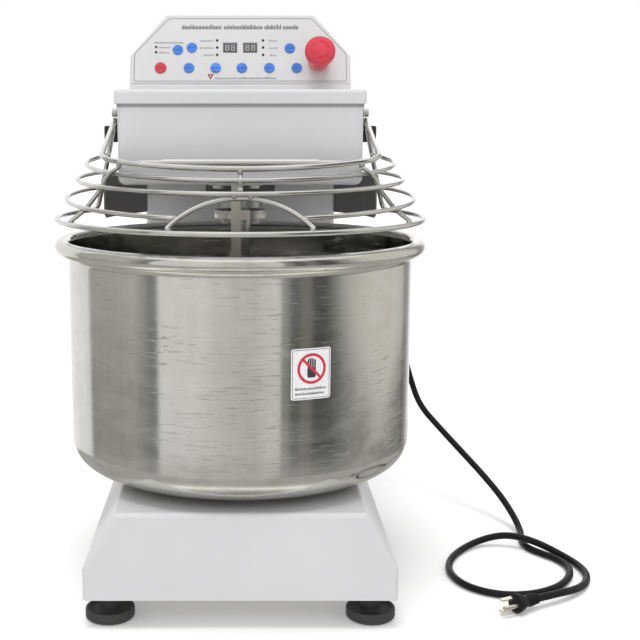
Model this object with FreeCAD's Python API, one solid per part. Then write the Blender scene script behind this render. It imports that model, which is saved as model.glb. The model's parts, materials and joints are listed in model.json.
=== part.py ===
import FreeCAD
import Part
import math
import os

from FreeCAD import Vector

# A spiral dough mixer of the 30 litre class, modelled as its separate pieces.
# Lengths are millimetres and angles are degrees. Everything is first built about
# the bowl's axis: X to the right, Y to the back, Z up from the floor. save() then
# moves each piece so that the origin is under the middle of the machine.

# Bowl
BOWL_RADIUS = 200.0
BOWL_WALL = 1.5
BOWL_BOTTOM = 139.0
BOWL_FILLET = 32.0
RIM_TUBE = 8.0
RIM_CENTRE = BOWL_RADIUS + RIM_TUBE - 0.5
RIM_Z = 396.0

# Housings, bent from sheet
SHEET = 2.0
BASE_WALL = 2.5
FRONT = -190.0
REAR = 482.0
FOOT_HEIGHT = 33.0
BASE_SHOULDER = 67.0
BASE_TOP = 130.0
BASE_HALF = 168.5
BASE_TOP_HALF = 134.0
COLUMN_HALF = 130.0
COLUMN_FRONT = 243.0
HEAD_FRONT = -120.0
HEAD_BOTTOM = 470.0
HEAD_TOP = 555.0
COVER_TOP = 570.0
COVER_LIP = 2.7

# Control panel, hexagonal and leaning back
PANEL_TILT = 23.0
PANEL_Y = 20.0
PANEL_Z = 576.0
PANEL_HALF = 129.0
PANEL_TOP_HALF = 87.0
PANEL_REAR = 150.0
PANEL_TOP = 660.0
PANEL_SIDE_TOP = 612.0
LABEL = 0.8
LABEL_HALF = 125.9
LABEL_TOP_HALF = 85.5
LABEL_LOW = 5.0
LABEL_SIDE = 41.8
LABEL_HEIGHT = 88.9

# Controls on the panel face: x, height up the face and, for a key, its radius
KEY_RADIUS = 6.0
RED_KEY = (-93.3, 23.7, 6.7)
BLUE_KEYS = [
    (-60.1, 23.7, KEY_RADIUS), (-28.8, 23.7, KEY_RADIUS), (1.8, 23.7, KEY_RADIUS),
    (34.0, 23.7, KEY_RADIUS), (66.0, 23.7, KEY_RADIUS),
    (-73.3, 46.6, KEY_RADIUS), (-56.9, 49.4, KEY_RADIUS), (58.1, 48.6, KEY_RADIUS),
]
KEY_PROUD = 0.4
KEY_TRAVEL = 0.8
DISPLAY_X = (-12.0, 11.6)
DISPLAY_HALF = 7.9
DISPLAY_Y = (43.8, 55.2)
LED_RADIUS = 1.5
LED_PLACES = [(x, y) for x in (-27.2, 26.7) for y in (58.7, 49.6, 40.3)] + [(-98.9, 50.3), (-98.9, 43.6)]
BOARD_FRONT = -8.0
ESTOP = (91.5, 31.0)
ESTOP_HEAD = 17.5
ESTOP_COLLAR = 12.0
ESTOP_NECK = 9.5
ESTOP_SLEEVE = 7.0
ESTOP_STEM = 4.0

# Drive train
HOOK_Y = 97.0
DRIVE_Y = 300.0
MOTOR_Y = 400.0
SHAFT = 12.5
FIT = 0.05
GAP = 0.3
CHAIN_PITCH = 12.7
HEAD_CHAIN_Z = 531.5
BASE_CHAIN_Z = 103.5
SPROCKET = 7.0

# Spiral hook, flange and breaker bar
HOOK_ROD = 12.0
HOOK_SWEEP = 62.0
FLANGE = 33.0
FLANGE_Z = (418.0, 423.0, 428.0)
BAR_X = (-10.5, 0.5)
BAR_Y = (-18.0, 12.0)
BAR_BOTTOM = 168.0
UNDER_PLATE = 18.0

# Wire guard: radius, height at the front, and rise per millimetre towards the back
RINGS = {
    "guard_ring_2": (177.0, 478.0, 0.070),
    "guard_ring_3": (187.7, 465.0, 0.037),
    "guard_ring_4": (200.7, 440.5, 0.050),
}
LOW_RING = (212.0, 426.5, 0.0)
CROSS_BAR = (-133.0, 494.5)
CROSS_BAR_HALF = 122.0
SLEEVE_HALF = 81.5
THIN_WIRE = 2.5
THICK_WIRE = 3.0
HINGE_Y = 75.0
HINGE_Z = 547.0
HINGE_PIN = 4.0
PLATE_X = (146.4, 149.4)
ARM_X = PLATE_X[1] + THICK_WIRE

# Feet, fasteners and cord
FOOT_X = 143.0
FOOT_Y = (-155.0, 430.0)
FOOT_RADIUS = 27.0
FOOT_STUD = 5.0
SCREW_HEAD = 2.0
CORD = 4.3
GLAND = Vector(COLUMN_HALF, 330.0, 240.0)
CORD_ROUTE = [
    Vector(171, 330, 240), Vector(199, 330, 239), Vector(226, 323, 226), Vector(241, 311, 199),
    Vector(250, 302, 163), Vector(262, 289, 127), Vector(287, 251, 102), Vector(311, 213, 79),
    Vector(335, 177, 56), Vector(354, 145, 35), Vector(365, 118, 17), Vector(368, 97, 7),
    Vector(365, 77, 4.5), Vector(361, 56, 4.5), Vector(364, 36.5, 4.5), Vector(375, 20.5, 4.5),
    Vector(390, 2, 4.5), Vector(399, -24, 4.5), Vector(391, -56, 4.5), Vector(369, -87, 4.5),
    Vector(333, -108, 4.5), Vector(294, -109, 4.5), Vector(261, -84, 4.5), Vector(249, -42, 4.5),
    Vector(258, 0, 4.5), Vector(281, 36, 4.5), Vector(309, 58, 8), Vector(337, 57, 15),
    Vector(361, 45, 15), Vector(381, 30, 11), Vector(399, 10, 6), Vector(411, -16, 4.5),
    Vector(414, -46, 4.5), Vector(404, -76, 4.5), Vector(385, -101, 8), Vector(359, -121, 11.7),
    Vector(330, -135.5, 11.7),
]
PLUG_END = CORD_ROUTE[-1]
PLUG_HEADING = (CORD_ROUTE[-1] - CORD_ROUTE[-2]).normalize()
PLUG_NECK = 16.0
PLUG_LENGTH = 30.0

REAR_MOST = REAR + SHEET + SCREW_HEAD
MIDDLE_Y = (REAR_MOST - RIM_CENTRE - RIM_TUBE) / 2


def save(name, shape):
    """Move a finished piece to the machine's origin and write it."""
    placed = shape.copy()
    placed.translate(Vector(0, -MIDDLE_Y, 0))
    solids = placed.Solids
    sound = placed.isValid() and all(solid.Volume > 0 for solid in solids)
    print(f"{name}: {len(solids)} solids, {placed.Volume / 1000:.2f} cm3, valid {sound}")
    placed.exportStep(f"parts/{name}.step")


def block(x, y, z):
    """A box between the two ends given for each axis."""
    return Part.makeBox(x[1] - x[0], y[1] - y[0], z[1] - z[0], Vector(x[0], y[0], z[0]))


def post(radius, centre, z):
    """An upright cylinder."""
    return Part.makeCylinder(radius, z[1] - z[0], Vector(centre[0], centre[1], z[0]))


def pipe(outer, inner, centre, z):
    """An upright tube."""
    return post(outer, centre, z).cut(post(inner, centre, z))


def rod(radius, start, end):
    """A cylinder between two points."""
    return Part.makeCylinder(radius, (end - start).Length, start, end - start)


def hexagon(across, start, end):
    """A hexagonal bolt head or nut between two points."""
    corner = across / math.sqrt(3)
    ring = Part.makePolygon([
        Vector(corner * math.cos(math.radians(60 * step)), corner * math.sin(math.radians(60 * step)), 0)
        for step in range(7)
    ])
    solid = Part.Face(ring).extrude(Vector(0, 0, (end - start).Length))
    solid.Placement = FreeCAD.Placement(start, FreeCAD.Rotation(Vector(0, 0, 1), end - start))
    return solid


def prism(outline, y):
    """An outline of (x, z) points carried along Y."""
    corners = [Vector(x, y[0], z) for x, z in outline + outline[:1]]
    return Part.Face(Part.makePolygon(corners)).extrude(Vector(0, y[1] - y[0], 0))


def slab(outline, z):
    """An outline of (x, y) points carried along Z."""
    corners = [Vector(x, y, z[0]) for x, y in outline + outline[:1]]
    return Part.Face(Part.makePolygon(corners)).extrude(Vector(0, 0, z[1] - z[0]))


def group(shapes):
    """Separate solids kept together as one piece."""
    return Part.makeCompound(shapes)


def mirrored(shape):
    """The same shape on the other side of the machine."""
    return shape.mirror(Vector(0, 0, 0), Vector(1, 0, 0))


def both_sides(shape):
    """A shape and its mirror image."""
    return group([shape, mirrored(shape)])


def rounded(shape, radius, wanted):
    """Round the edges that wanted(start, end) accepts."""
    edges = [
        edge for edge in shape.Edges
        if len(edge.Vertexes) == 2 and wanted(edge.Vertexes[0].Point, edge.Vertexes[1].Point)
    ]
    return shape.makeFillet(radius, edges)


def direction(start, end):
    """Unit vector from one point to another."""
    step = end - start
    return step / step.Length


def turn_between(first, second):
    """Angle between two unit vectors, in radians."""
    return math.acos(max(-1.0, min(1.0, first.dot(second))))


def bend(start, heading, target, radius):
    """A tangent arc from start that ends heading for target, and the run up to target."""
    leaving = direction(start, target)
    for _ in range(30):
        turn = turn_between(heading, leaving)
        sideways = leaving - heading * leaving.dot(heading)
        sideways = sideways / sideways.Length
        end = start + heading * (radius * math.sin(turn)) + sideways * (radius * (1 - math.cos(turn)))
        leaving = direction(end, target)
    half = turn / 2
    middle = start + heading * (radius * math.sin(half)) + sideways * (radius * (1 - math.cos(half)))
    return [Part.Arc(start, middle, end).toShape(), Part.LineSegment(end, target).toShape()]


def rounded_route(points):
    """Straight runs joined by the largest tangent arcs, and the radii of those arcs."""
    edges, radii = [], []
    here = points[0]
    for before, corner, after in zip(points, points[1:], points[2:]):
        arriving, leaving = direction(before, corner), direction(corner, after)
        turn = turn_between(arriving, leaving)
        setback = 0.45 * min((corner - before).Length, (after - corner).Length)
        radius = setback / math.tan(turn / 2)
        inward = (leaving - arriving) / (leaving - arriving).Length
        middle = corner + inward * (radius / math.cos(turn / 2) - radius)
        enter, leave = corner - arriving * setback, corner + leaving * setback
        edges.append(Part.LineSegment(here, enter).toShape())
        edges.append(Part.Arc(enter, middle, leave).toShape())
        here = leave
        radii.append(radius)
    edges.append(Part.LineSegment(here, points[-1]).toShape())
    return edges, radii


def swept(edges, radius, start, heading):
    """A round wire along a route."""
    circle = Part.Wire(Part.Edge(Part.Circle(start, heading, radius)))
    return Part.Wire(edges).makePipeShell([circle], True, False)


def swept_points(points, radius):
    """A round wire along straight runs joined by arcs."""
    edges, _ = rounded_route(points)
    return swept(edges, radius, points[0], direction(points[0], points[1]))


def ring_point(ring, angle):
    """A point of a guard ring, at an angle from the front towards the right."""
    radius, front_z, rise = ring
    lean = math.atan(rise)
    across, along = math.sin(math.radians(angle)), -math.cos(math.radians(angle))
    return Vector(
        radius * across,
        radius * along * math.cos(lean),
        front_z + radius * (1 + along) * math.sin(lean),
    )


def ring_heading(ring, angle):
    """Direction of travel round a guard ring, towards the right and the back."""
    lean = math.atan(ring[2])
    across, along = math.cos(math.radians(angle)), math.sin(math.radians(angle))
    return Vector(across, along * math.cos(lean), along * math.sin(lean))


def ring_arc(ring, first, last):
    """An arc of a guard ring."""
    return Part.Arc(
        ring_point(ring, first), ring_point(ring, (first + last) / 2), ring_point(ring, last)
    ).toShape()


def mirrored_route(right_half, middle):
    """A route that is symmetrical about the machine, from its right half."""
    left_half = [mirrored(edge) for edge in reversed(right_half)]
    return left_half + [middle] + right_half


def sprocket(teeth, centre, z, bore):
    """A roller chain sprocket with pointed teeth."""
    pitch_radius = CHAIN_PITCH / 2 / math.sin(math.pi / teeth)
    tip, root = pitch_radius + 3.0, pitch_radius - 3.9
    outline = []
    for step in range(2 * teeth):
        radius = tip if step % 2 else root
        angle = math.pi * step / teeth
        outline.append((centre[0] + radius * math.cos(angle), centre[1] + radius * math.sin(angle)))
    return slab(outline, z).cut(post(bore, centre, z)), tip


def chain_loop(first, first_radius, second, second_radius, z):
    """A chain round two sprockets on the same fore and aft line."""
    distance = second - first
    lean = math.asin((first_radius - second_radius) / distance)

    def band(extra):
        big, small = first_radius + extra, second_radius + extra
        sides = []
        for side in (1, -1):
            normal = (side * math.cos(lean), math.sin(lean))
            sides.append([(big * normal[0], first + big * normal[1]),
                          (small * normal[0], second + small * normal[1])])
        outline = [sides[0][0], sides[0][1], sides[1][1], sides[1][0]]
        loop = slab(outline, z)
        return loop.fuse([post(big, (0, first), z), post(small, (0, second), z)]).removeSplitter()

    return band(6.0).cut(band(0.0))


def ball_bearing(centre, z, bore, outside):
    """A deep groove bearing: two races and a cage of balls joined by a shield."""
    width = outside - bore
    outer = pipe(outside, outside - 0.28 * width, centre, z)
    inner = pipe(bore + 0.28 * width, bore, centre, z)
    shield = pipe(outside - 0.28 * width, bore + 0.28 * width, centre, (z[0] + 1, z[1] - 1))
    return outer.fuse([inner, shield]).removeSplitter()


# ---------------------------------------------------------------- housings

def base_outline(inset):
    """Hexagonal section of the base, with its open side down."""
    slope_inset = inset * 0.6
    return [
        (-BASE_HALF + inset, FOOT_HEIGHT),
        (BASE_HALF - inset, FOOT_HEIGHT),
        (BASE_HALF - inset, BASE_SHOULDER - slope_inset / 2),
        (BASE_TOP_HALF - slope_inset, BASE_TOP - inset),
        (-BASE_TOP_HALF + slope_inset, BASE_TOP - inset),
        (-BASE_HALF + inset, BASE_SHOULDER - slope_inset / 2),
    ]


def base_shell():
    """Sheet cover of the base, open below."""
    def on_front_or_ridge(start, end):
        on_front = abs(start.y - FRONT) < 0.1 and abs(end.y - FRONT) < 0.1 and start.z + end.z > 70
        ridge = abs(start.z - end.z) < 0.1 and abs(start.y - end.y) > 100 and start.z > 60
        return on_front or ridge

    outer = rounded(prism(base_outline(0), (FRONT, REAR)), 5.0, on_front_or_ridge)
    inner = prism(base_outline(BASE_WALL), (FRONT + SHEET, REAR - SHEET))
    mouth = block((-BASE_HALF + BASE_WALL, BASE_HALF - BASE_WALL), (FRONT + SHEET, REAR - SHEET),
                  (FOOT_HEIGHT - 1, FOOT_HEIGHT + 1))
    shell = outer.cut(inner.fuse(mouth).removeSplitter())
    shell = shell.cut(post(45.0, (0, 0), (BASE_TOP - 10, BASE_TOP + 1)))
    return shell.cut(block((-80, 80), (265, 470), (BASE_TOP - 10, BASE_TOP + 1)))


def base_chassis():
    """Floor plate of the base with two side rails, which carries the feet and bearings."""
    half = BASE_HALF - BASE_WALL - GAP
    depth = (FRONT + SHEET + GAP, REAR - SHEET - GAP)
    plate = block((-half, half), depth, (FOOT_HEIGHT, FOOT_HEIGHT + 5))
    for side in (-1, 1):
        rail = block((side * half - 4 * (side > 0), side * half + 4 * (side < 0)),
                     (FRONT + 12, depth[1]), (FOOT_HEIGHT + 5, BASE_SHOULDER - 6))
        plate = plate.fuse(rail)
    for x in (-FOOT_X, FOOT_X):
        for y in FOOT_Y:
            plate = plate.cut(post(6.0, (x, y), (FOOT_HEIGHT - 1, FOOT_HEIGHT + 6)))
    return plate.removeSplitter()


def upright(x, y):
    """An edge test for the upright edges at one corner."""
    def wanted(start, end):
        return (abs(start.x - end.x) < 0.1 and abs(start.y - end.y) < 0.1
                and abs(abs(start.x) - x) < 0.1 and abs(start.y - y) < 0.1)
    return wanted


def column_shell():
    """Sheet casing of the column, open above, below and behind."""
    outer = block((-COLUMN_HALF, COLUMN_HALF), (COLUMN_FRONT, REAR), (BASE_TOP + GAP, HEAD_BOTTOM))
    outer = rounded(outer, 6.0, upright(COLUMN_HALF, COLUMN_FRONT))
    inner = block((-COLUMN_HALF + SHEET, COLUMN_HALF - SHEET), (COLUMN_FRONT + SHEET, REAR + 1),
                  (BASE_TOP - 1, HEAD_BOTTOM + 1))
    inner = rounded(inner, 4.0, upright(COLUMN_HALF - SHEET, COLUMN_FRONT + SHEET))
    hole = rod(9.0 + FIT, GLAND - Vector(10, 0, 0), GLAND + Vector(10, 0, 0))
    shell = outer.cut(inner).cut(hole)
    for side in (-1, 1):
        x = sorted((side * COLUMN_HALF, side * 108))
        shell = shell.fuse(block(x, (REAR - SHEET, REAR), (BASE_TOP + 8, HEAD_BOTTOM)))
    for x, z in rear_screw_places():
        screw = Vector(x, REAR, z)
        shell = shell.cut(rod(2.1, screw - Vector(0, 6, 0), screw + Vector(0, 3, 0)))
    return shell.removeSplitter()


def rear_cover():
    """Removable sheet at the back of the column and base, with louvre slots."""
    z = (BASE_TOP + 4, HEAD_TOP - FIT)
    plate = block((-COLUMN_HALF + 1, COLUMN_HALF - 1), (REAR, REAR + SHEET), z)
    for row in range(7):
        level = 190 + 14 * row
        plate = plate.cut(block((-70, 70), (REAR - 1, REAR + SHEET + 1), (level, level + 5)))
    for x, z_hole in rear_screw_places():
        hole = Vector(x, REAR, z_hole)
        plate = plate.cut(rod(2.1, hole - Vector(0, 1, 0), hole + Vector(0, 3, 0)))
    return plate


def rear_screw_places():
    """Screws round the rear cover."""
    return [(x, z) for x in (-118, 118) for z in (150, 300, 450)]


def rear_cover_screws():
    """Pan head screws of the rear cover."""
    screws = []
    for x, z in rear_screw_places():
        outside = Vector(x, REAR + SHEET, z)
        head = rod(4.0, outside, outside + Vector(0, SCREW_HEAD, 0))
        shank = rod(2.05, outside - Vector(0, SHEET + 4, 0), outside)
        screws.append(head.fuse(shank).removeSplitter())
    return group(screws)


def head_shell():
    """Sheet box of the head, open above and behind, from the bowl's front to the rear."""
    def lower_edges(start, end):
        low = abs(start.z - HEAD_BOTTOM) < 0.1 and abs(end.z - HEAD_BOTTOM) < 0.1
        sides = abs(start.y - end.y) > 100
        front = abs(start.y - HEAD_FRONT) < 0.1 and abs(end.y - HEAD_FRONT) < 0.1
        return (low and (sides or front)) or (front and abs(start.z - end.z) > 10)

    outer = rounded(block((-COLUMN_HALF, COLUMN_HALF), (HEAD_FRONT, REAR), (HEAD_BOTTOM, HEAD_TOP)),
                    8.0, lower_edges)
    inner = block((-COLUMN_HALF + SHEET, COLUMN_HALF - SHEET), (HEAD_FRONT + SHEET, REAR + 1),
                  (HEAD_BOTTOM + SHEET, HEAD_TOP + 1))
    side = upright(COLUMN_HALF - SHEET, HEAD_FRONT + SHEET)
    inner = rounded(inner, 6.0, lambda start, end: side(start, end)
                    or (abs(start.z - HEAD_BOTTOM - SHEET) < 0.1 and abs(end.z - start.z) < 0.1
                        and start.y + end.y < REAR * 2))
    shell = outer.cut(inner)
    shell = shell.cut(post(28.3, (0, HOOK_Y), (HEAD_BOTTOM - 1, HEAD_BOTTOM + 4)))
    shell = shell.cut(block((-90, 90), (COLUMN_FRONT + 15, REAR + 1), (HEAD_BOTTOM - 1, HEAD_BOTTOM + 3)))
    for x, y in under_bolt_places() + bar_bolt_places():
        shell = shell.cut(post(3.1, (x, y), (HEAD_BOTTOM - 1, HEAD_BOTTOM + 4)))
    axle = Vector(0, HINGE_Y, HINGE_Z)
    return shell.cut(rod(HINGE_PIN + FIT, axle - Vector(140, 0, 0), axle + Vector(140, 0, 0)))


def head_cover():
    """Lid of the head: a flat top with a lip that stands a little proud all round."""
    x, y = COLUMN_HALF + COVER_LIP, HEAD_FRONT - COVER_LIP
    outer = block((-x, x), (y, REAR + SHEET), (HEAD_TOP, COVER_TOP))
    outer = rounded(outer, 4.0, lambda start, end: start.z + end.z > 2 * HEAD_TOP + 1)
    inner = block((-x + SHEET, x - SHEET), (y + SHEET, REAR), (HEAD_TOP - 1, COVER_TOP - SHEET))
    lid = outer.cut(inner)
    window = block((-60, 60), (PANEL_Y + 40, PANEL_REAR - 20), (HEAD_TOP, COVER_TOP + 1))
    return lid.cut(window)


def on_panel(shape):
    """Place a shape drawn flat, x across, y up and z outwards, on the leaning panel face."""
    lean = FreeCAD.Rotation(Vector(1, 0, 0), 90 - PANEL_TILT)
    placed = shape.copy()
    placed.Placement = FreeCAD.Placement(Vector(0, PANEL_Y, PANEL_Z), lean).multiply(placed.Placement)
    return placed


def panel_outline(inset, top):
    """Hexagonal outline of the panel housing."""
    return [
        (-PANEL_HALF + inset, COVER_TOP),
        (PANEL_HALF - inset, COVER_TOP),
        (PANEL_HALF - inset, PANEL_SIDE_TOP - inset / 2),
        (PANEL_TOP_HALF - inset / 2, top),
        (-PANEL_TOP_HALF + inset / 2, top),
        (-PANEL_HALF + inset, PANEL_SIDE_TOP - inset / 2),
    ]


def panel_housing():
    """Sheet housing of the controls, standing on the head cover."""
    in_front = on_panel(block((-200, 200), (-60, 160), (0, 200)))
    behind_face = on_panel(block((-200, 200), (-60, 160), (-SHEET, 200)))
    outer = prism(panel_outline(0, PANEL_TOP), (PANEL_Y - 40, PANEL_REAR)).cut(in_front)
    inner = prism(panel_outline(SHEET, PANEL_TOP - SHEET), (PANEL_Y - 40, PANEL_REAR - SHEET))
    inner = inner.cut(behind_face)
    inner = inner.fuse(inner.translated(Vector(0, 0, -1))).removeSplitter()
    housing = outer.cut(inner)
    for x, y, radius in key_places():
        housing = housing.cut(on_panel(post(radius - 0.6, (x, y), (-SHEET - 1, 1))))
    housing = housing.cut(on_panel(post(ESTOP_NECK + 0.1, ESTOP, (-SHEET - 1, 1))))
    for x in DISPLAY_X:
        housing = housing.cut(on_panel(display_block(x, 0.1, (-SHEET - 1, 1))))
    for x, y in LED_PLACES:
        housing = housing.cut(on_panel(post(1.55, (x, y), (-SHEET - 1, 1))))
    return housing


# ---------------------------------------------------------------- controls

def key_places():
    """Every key as x, height up the panel and radius."""
    return [RED_KEY] + BLUE_KEYS


def display_block(x, more, depth):
    """A display's block, or with more round it, the window that clears it."""
    y = (DISPLAY_Y[0] - more, DISPLAY_Y[1] + more)
    return block((x - DISPLAY_HALF - more, x + DISPLAY_HALF + more), y, depth)


def panel_label():
    """Plastic face of the panel, with clear holes round the keys."""
    outline = [
        (-LABEL_HALF, LABEL_LOW), (LABEL_HALF, LABEL_LOW), (LABEL_HALF, LABEL_SIDE),
        (LABEL_TOP_HALF, LABEL_HEIGHT), (-LABEL_TOP_HALF, LABEL_HEIGHT), (-LABEL_HALF, LABEL_SIDE),
    ]
    sheet = slab(outline, (0, LABEL))
    for x, y, radius in key_places():
        sheet = sheet.cut(post(radius + GAP, (x, y), (-1, LABEL + 1)))
    for x in DISPLAY_X:
        sheet = sheet.cut(display_block(x, 1.0, (-1, LABEL + 1)))
    for x, y in LED_PLACES:
        sheet = sheet.cut(post(LED_RADIUS + FIT, (x, y), (-1, LABEL + 1)))
    return on_panel(sheet.cut(post(ESTOP_NECK + 0.1, ESTOP, (-1, LABEL + 1))))


def key(x, y, radius):
    """A key: a cap in the label and a narrower stem through the housing face."""
    cap = post(radius, (x, y), (GAP, LABEL + KEY_PROUD))
    cap = cap.makeFillet(0.3, [edge for edge in cap.Edges if edge.BoundBox.ZMin > LABEL + KEY_PROUD - 0.01])
    stem = post(radius - 1.2, (x, y), (-SHEET - 0.5, GAP))
    key_at_rest = cap.fuse(stem).removeSplitter()
    return on_panel(key_at_rest.translated(Vector(0, 0, KEY_TRAVEL)))


def key_switches():
    """Tactile switches on the control board, one behind each key."""
    return [
        on_panel(block((x - 3, x + 3), (y - 3, y + 3), (BOARD_FRONT, -3.2)))
        for x, y, radius in key_places()
    ]


def displays():
    """Two seven segment display blocks behind the face."""
    return group([
        on_panel(display_block(x, 0.0, (BOARD_FRONT, LABEL - 0.2))) for x in DISPLAY_X
    ])


def indicator_leds():
    """Round indicator lamps on the control board."""
    return group([on_panel(post(LED_RADIUS, place, (BOARD_FRONT, LABEL + 0.4))) for place in LED_PLACES])


def control_board():
    """Circuit board behind the panel face with its switches, beside the emergency stop."""
    board = block((-103, 74), (15, 66), (BOARD_FRONT - 1.6, BOARD_FRONT))
    return group([on_panel(board), estop_contacts()] + key_switches())


def estop_collar():
    """Fixed collar of the emergency stop, clamped through the panel."""
    collar = post(ESTOP_COLLAR, ESTOP, (LABEL, LABEL + 5)).fuse(post(ESTOP_NECK, ESTOP, (-16, LABEL)))
    nut = post(ESTOP_COLLAR - 0.5, ESTOP, (-SHEET - 5, -SHEET))
    collar = collar.fuse(nut).cut(post(ESTOP_SLEEVE + FIT, ESTOP, (-17, LABEL + 6)))
    return on_panel(collar.removeSplitter())


def estop_contacts():
    """Contact block behind the emergency stop."""
    x, y = ESTOP
    return on_panel(block((x - 14, x + 14), (y - 14, y + 14), (-38, -18)))


def estop_sleeve():
    """Sliding sleeve inside the emergency stop, which the mushroom head turns on."""
    return on_panel(pipe(ESTOP_SLEEVE, ESTOP_STEM + FIT, ESTOP, (-10.5, 14)))


def estop_head():
    """Red mushroom head with a nearly flat face, a tapered underside and its stem."""
    low, high, face = 16, 31.0, 34.5
    rim = ESTOP_HEAD
    profile = Part.Face(Part.Wire([
        Part.LineSegment(Vector(0, 0, low), Vector(11, 0, low)).toShape(),
        Part.LineSegment(Vector(11, 0, low), Vector(rim, 0, 26)).toShape(),
        Part.LineSegment(Vector(rim, 0, 26), Vector(rim, 0, high)).toShape(),
        Part.Arc(Vector(rim, 0, high), Vector(rim - 1, 0, face - 1.1), Vector(rim - 3.5, 0, face)).toShape(),
        Part.Arc(Vector(rim - 3.5, 0, face), Vector(8, 0, face + 1.2), Vector(1, 0, face + 1.8)).toShape(),
        Part.LineSegment(Vector(1, 0, face + 1.8), Vector(0, 0, face + 1.8)).toShape(),
        Part.LineSegment(Vector(0, 0, face + 1.8), Vector(0, 0, low)).toShape(),
    ]))
    head = profile.revolve(Vector(0, 0, 0), Vector(0, 0, 1), 360)
    head = head.fuse(post(ESTOP_STEM, (0, 0), (-11.5, low + 1))).removeSplitter()
    head.translate(Vector(ESTOP[0], ESTOP[1], 0))
    return on_panel(head)


# ---------------------------------------------------------------- bowl

def bowl():
    """Stainless bowl with a rounded bottom corner and a rolled rim."""
    outer = post(BOWL_RADIUS, (0, 0), (BOWL_BOTTOM, RIM_Z))
    outer = outer.makeFillet(BOWL_FILLET, [e for e in outer.Edges if e.BoundBox.ZMax < BOWL_BOTTOM + 1])
    inner_radius = BOWL_RADIUS - BOWL_WALL
    inner = post(inner_radius, (0, 0), (BOWL_BOTTOM + 2, RIM_Z + 1))
    inner = inner.makeFillet(BOWL_FILLET - 1.5, [e for e in inner.Edges if e.BoundBox.ZMax < BOWL_BOTTOM + 3])
    rim = Part.makeTorus(RIM_CENTRE, RIM_TUBE, Vector(0, 0, RIM_Z))
    return outer.cut(inner).fuse(rim).cut(post(inner_radius, (0, 0), (RIM_Z - 20, RIM_Z + 20)))


def bowl_shaft():
    """Flange welded under the bowl, with its shaft down into the base."""
    flange = post(55.0, (0, 0), (BOWL_BOTTOM - 5, BOWL_BOTTOM))
    return flange.fuse(post(17.5, (0, 0), (46, BOWL_BOTTOM - 4))).removeSplitter()


def bowl_bearing_housing():
    """Upright bearing housing bolted to the chassis."""
    foot = post(60.0, (0, 0), (FOOT_HEIGHT + 5, FOOT_HEIGHT + 13))
    body = foot.fuse(post(40.0, (0, 0), (FOOT_HEIGHT + 5, 92)))
    return body.cut(post(31.0 + FIT, (0, 0), (FOOT_HEIGHT + 9, 93))).removeSplitter()


def bowl_bearings():
    """Two bearings that carry the bowl."""
    return [ball_bearing((0, 0), z, 17.5 + FIT, 31.0) for z in ((50, 64), (76, 90))]


# ---------------------------------------------------------------- drive train

def drive_shaft():
    """Long upright shaft from the base to the head."""
    return post(SHAFT, (0, DRIVE_Y), (54, 545))


def shaft_bearings():
    """Every shaft bearing: the bowl's pair, the spindle's pair and the drive shaft's lower one."""
    lower = ball_bearing((0, DRIVE_Y), (56, 68), SHAFT + FIT, 23.5)
    return group(bowl_bearings() + spindle_bearings() + [lower])


def drive_bearing_block():
    """Bearing block at the foot of the drive shaft."""
    body = block((-40, 40), (DRIVE_Y - 32, DRIVE_Y + 32), (FOOT_HEIGHT + 5, 80))
    return body.cut(post(23.5 + FIT, (0, DRIVE_Y), (52, 81)))


def gearbox_housing():
    """Closed reduction gearbox, cast, with bores for the motor and the drive shaft."""
    body = block((-62, 62), (258, 462), (388, 446))
    body = body.cut(block((-55, 55), (265, 455), (395, 439)))
    body = body.fuse(pipe(26.0, SHAFT, (0, DRIVE_Y), (380, 395)))
    body = body.fuse(pipe(26.0, SHAFT, (0, DRIVE_Y), (439, 454)))
    body = body.cut(post(SHAFT + FIT, (0, DRIVE_Y), (370, 460)))
    return body.cut(post(9.5 + FIT, (0, MOTOR_Y), (380, 400))).removeSplitter()


def motor_housing():
    """Finned motor body hung under the gearbox, with an end shield below."""
    z = (205, 387.95)
    body = post(56.0, (0, MOTOR_Y), z)
    for fin in range(24):
        angle = 360 / 24 * fin
        blade = block((52, 60), (-1.2, 1.2), (z[0] + 12, z[1] - 12))
        blade.rotate(Vector(0, 0, 0), Vector(0, 0, 1), angle)
        body = body.fuse(blade.translated(Vector(0, MOTOR_Y, 0)))
    body = body.cut(post(52.0, (0, MOTOR_Y), (z[0] + 8, z[1] - 8)))
    return body.cut(post(9.5 + FIT, (0, MOTOR_Y), (z[0] - 1, z[1] + 1))).removeSplitter()


def motor_stator():
    """Stator ring pressed into the motor body."""
    return pipe(52.0, 36.0, (0, MOTOR_Y), (240, 350))


def motor_rotor():
    """Rotor and its shaft."""
    return post(9.5, (0, MOTOR_Y), (176, 410)).fuse(post(35.4, (0, MOTOR_Y), (245, 345))).removeSplitter()


def motor_fan():
    """Cooling fan on the lower end of the rotor."""
    fan = pipe(16.0, 9.5, (0, MOTOR_Y), (180, 196))
    for blade in range(7):
        vane = block((14, 48), (-1, 1), (180, 196))
        vane.rotate(Vector(0, 0, 0), Vector(0, 0, 1), 360 / 7 * blade)
        fan = fan.fuse(vane.translated(Vector(0, MOTOR_Y, 0)))
    return fan.removeSplitter()


def fan_cowl():
    """Cap over the fan, with a ring of air holes."""
    cowl = post(58.0, (0, MOTOR_Y), (168, 204.9)).cut(post(56.0, (0, MOTOR_Y), (170, 206)))
    for hole in range(8):
        angle = math.radians(45 * hole)
        centre = (36 * math.cos(angle), MOTOR_Y + 36 * math.sin(angle))
        cowl = cowl.cut(post(8.0, centre, (167, 171)))
    return cowl


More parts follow.
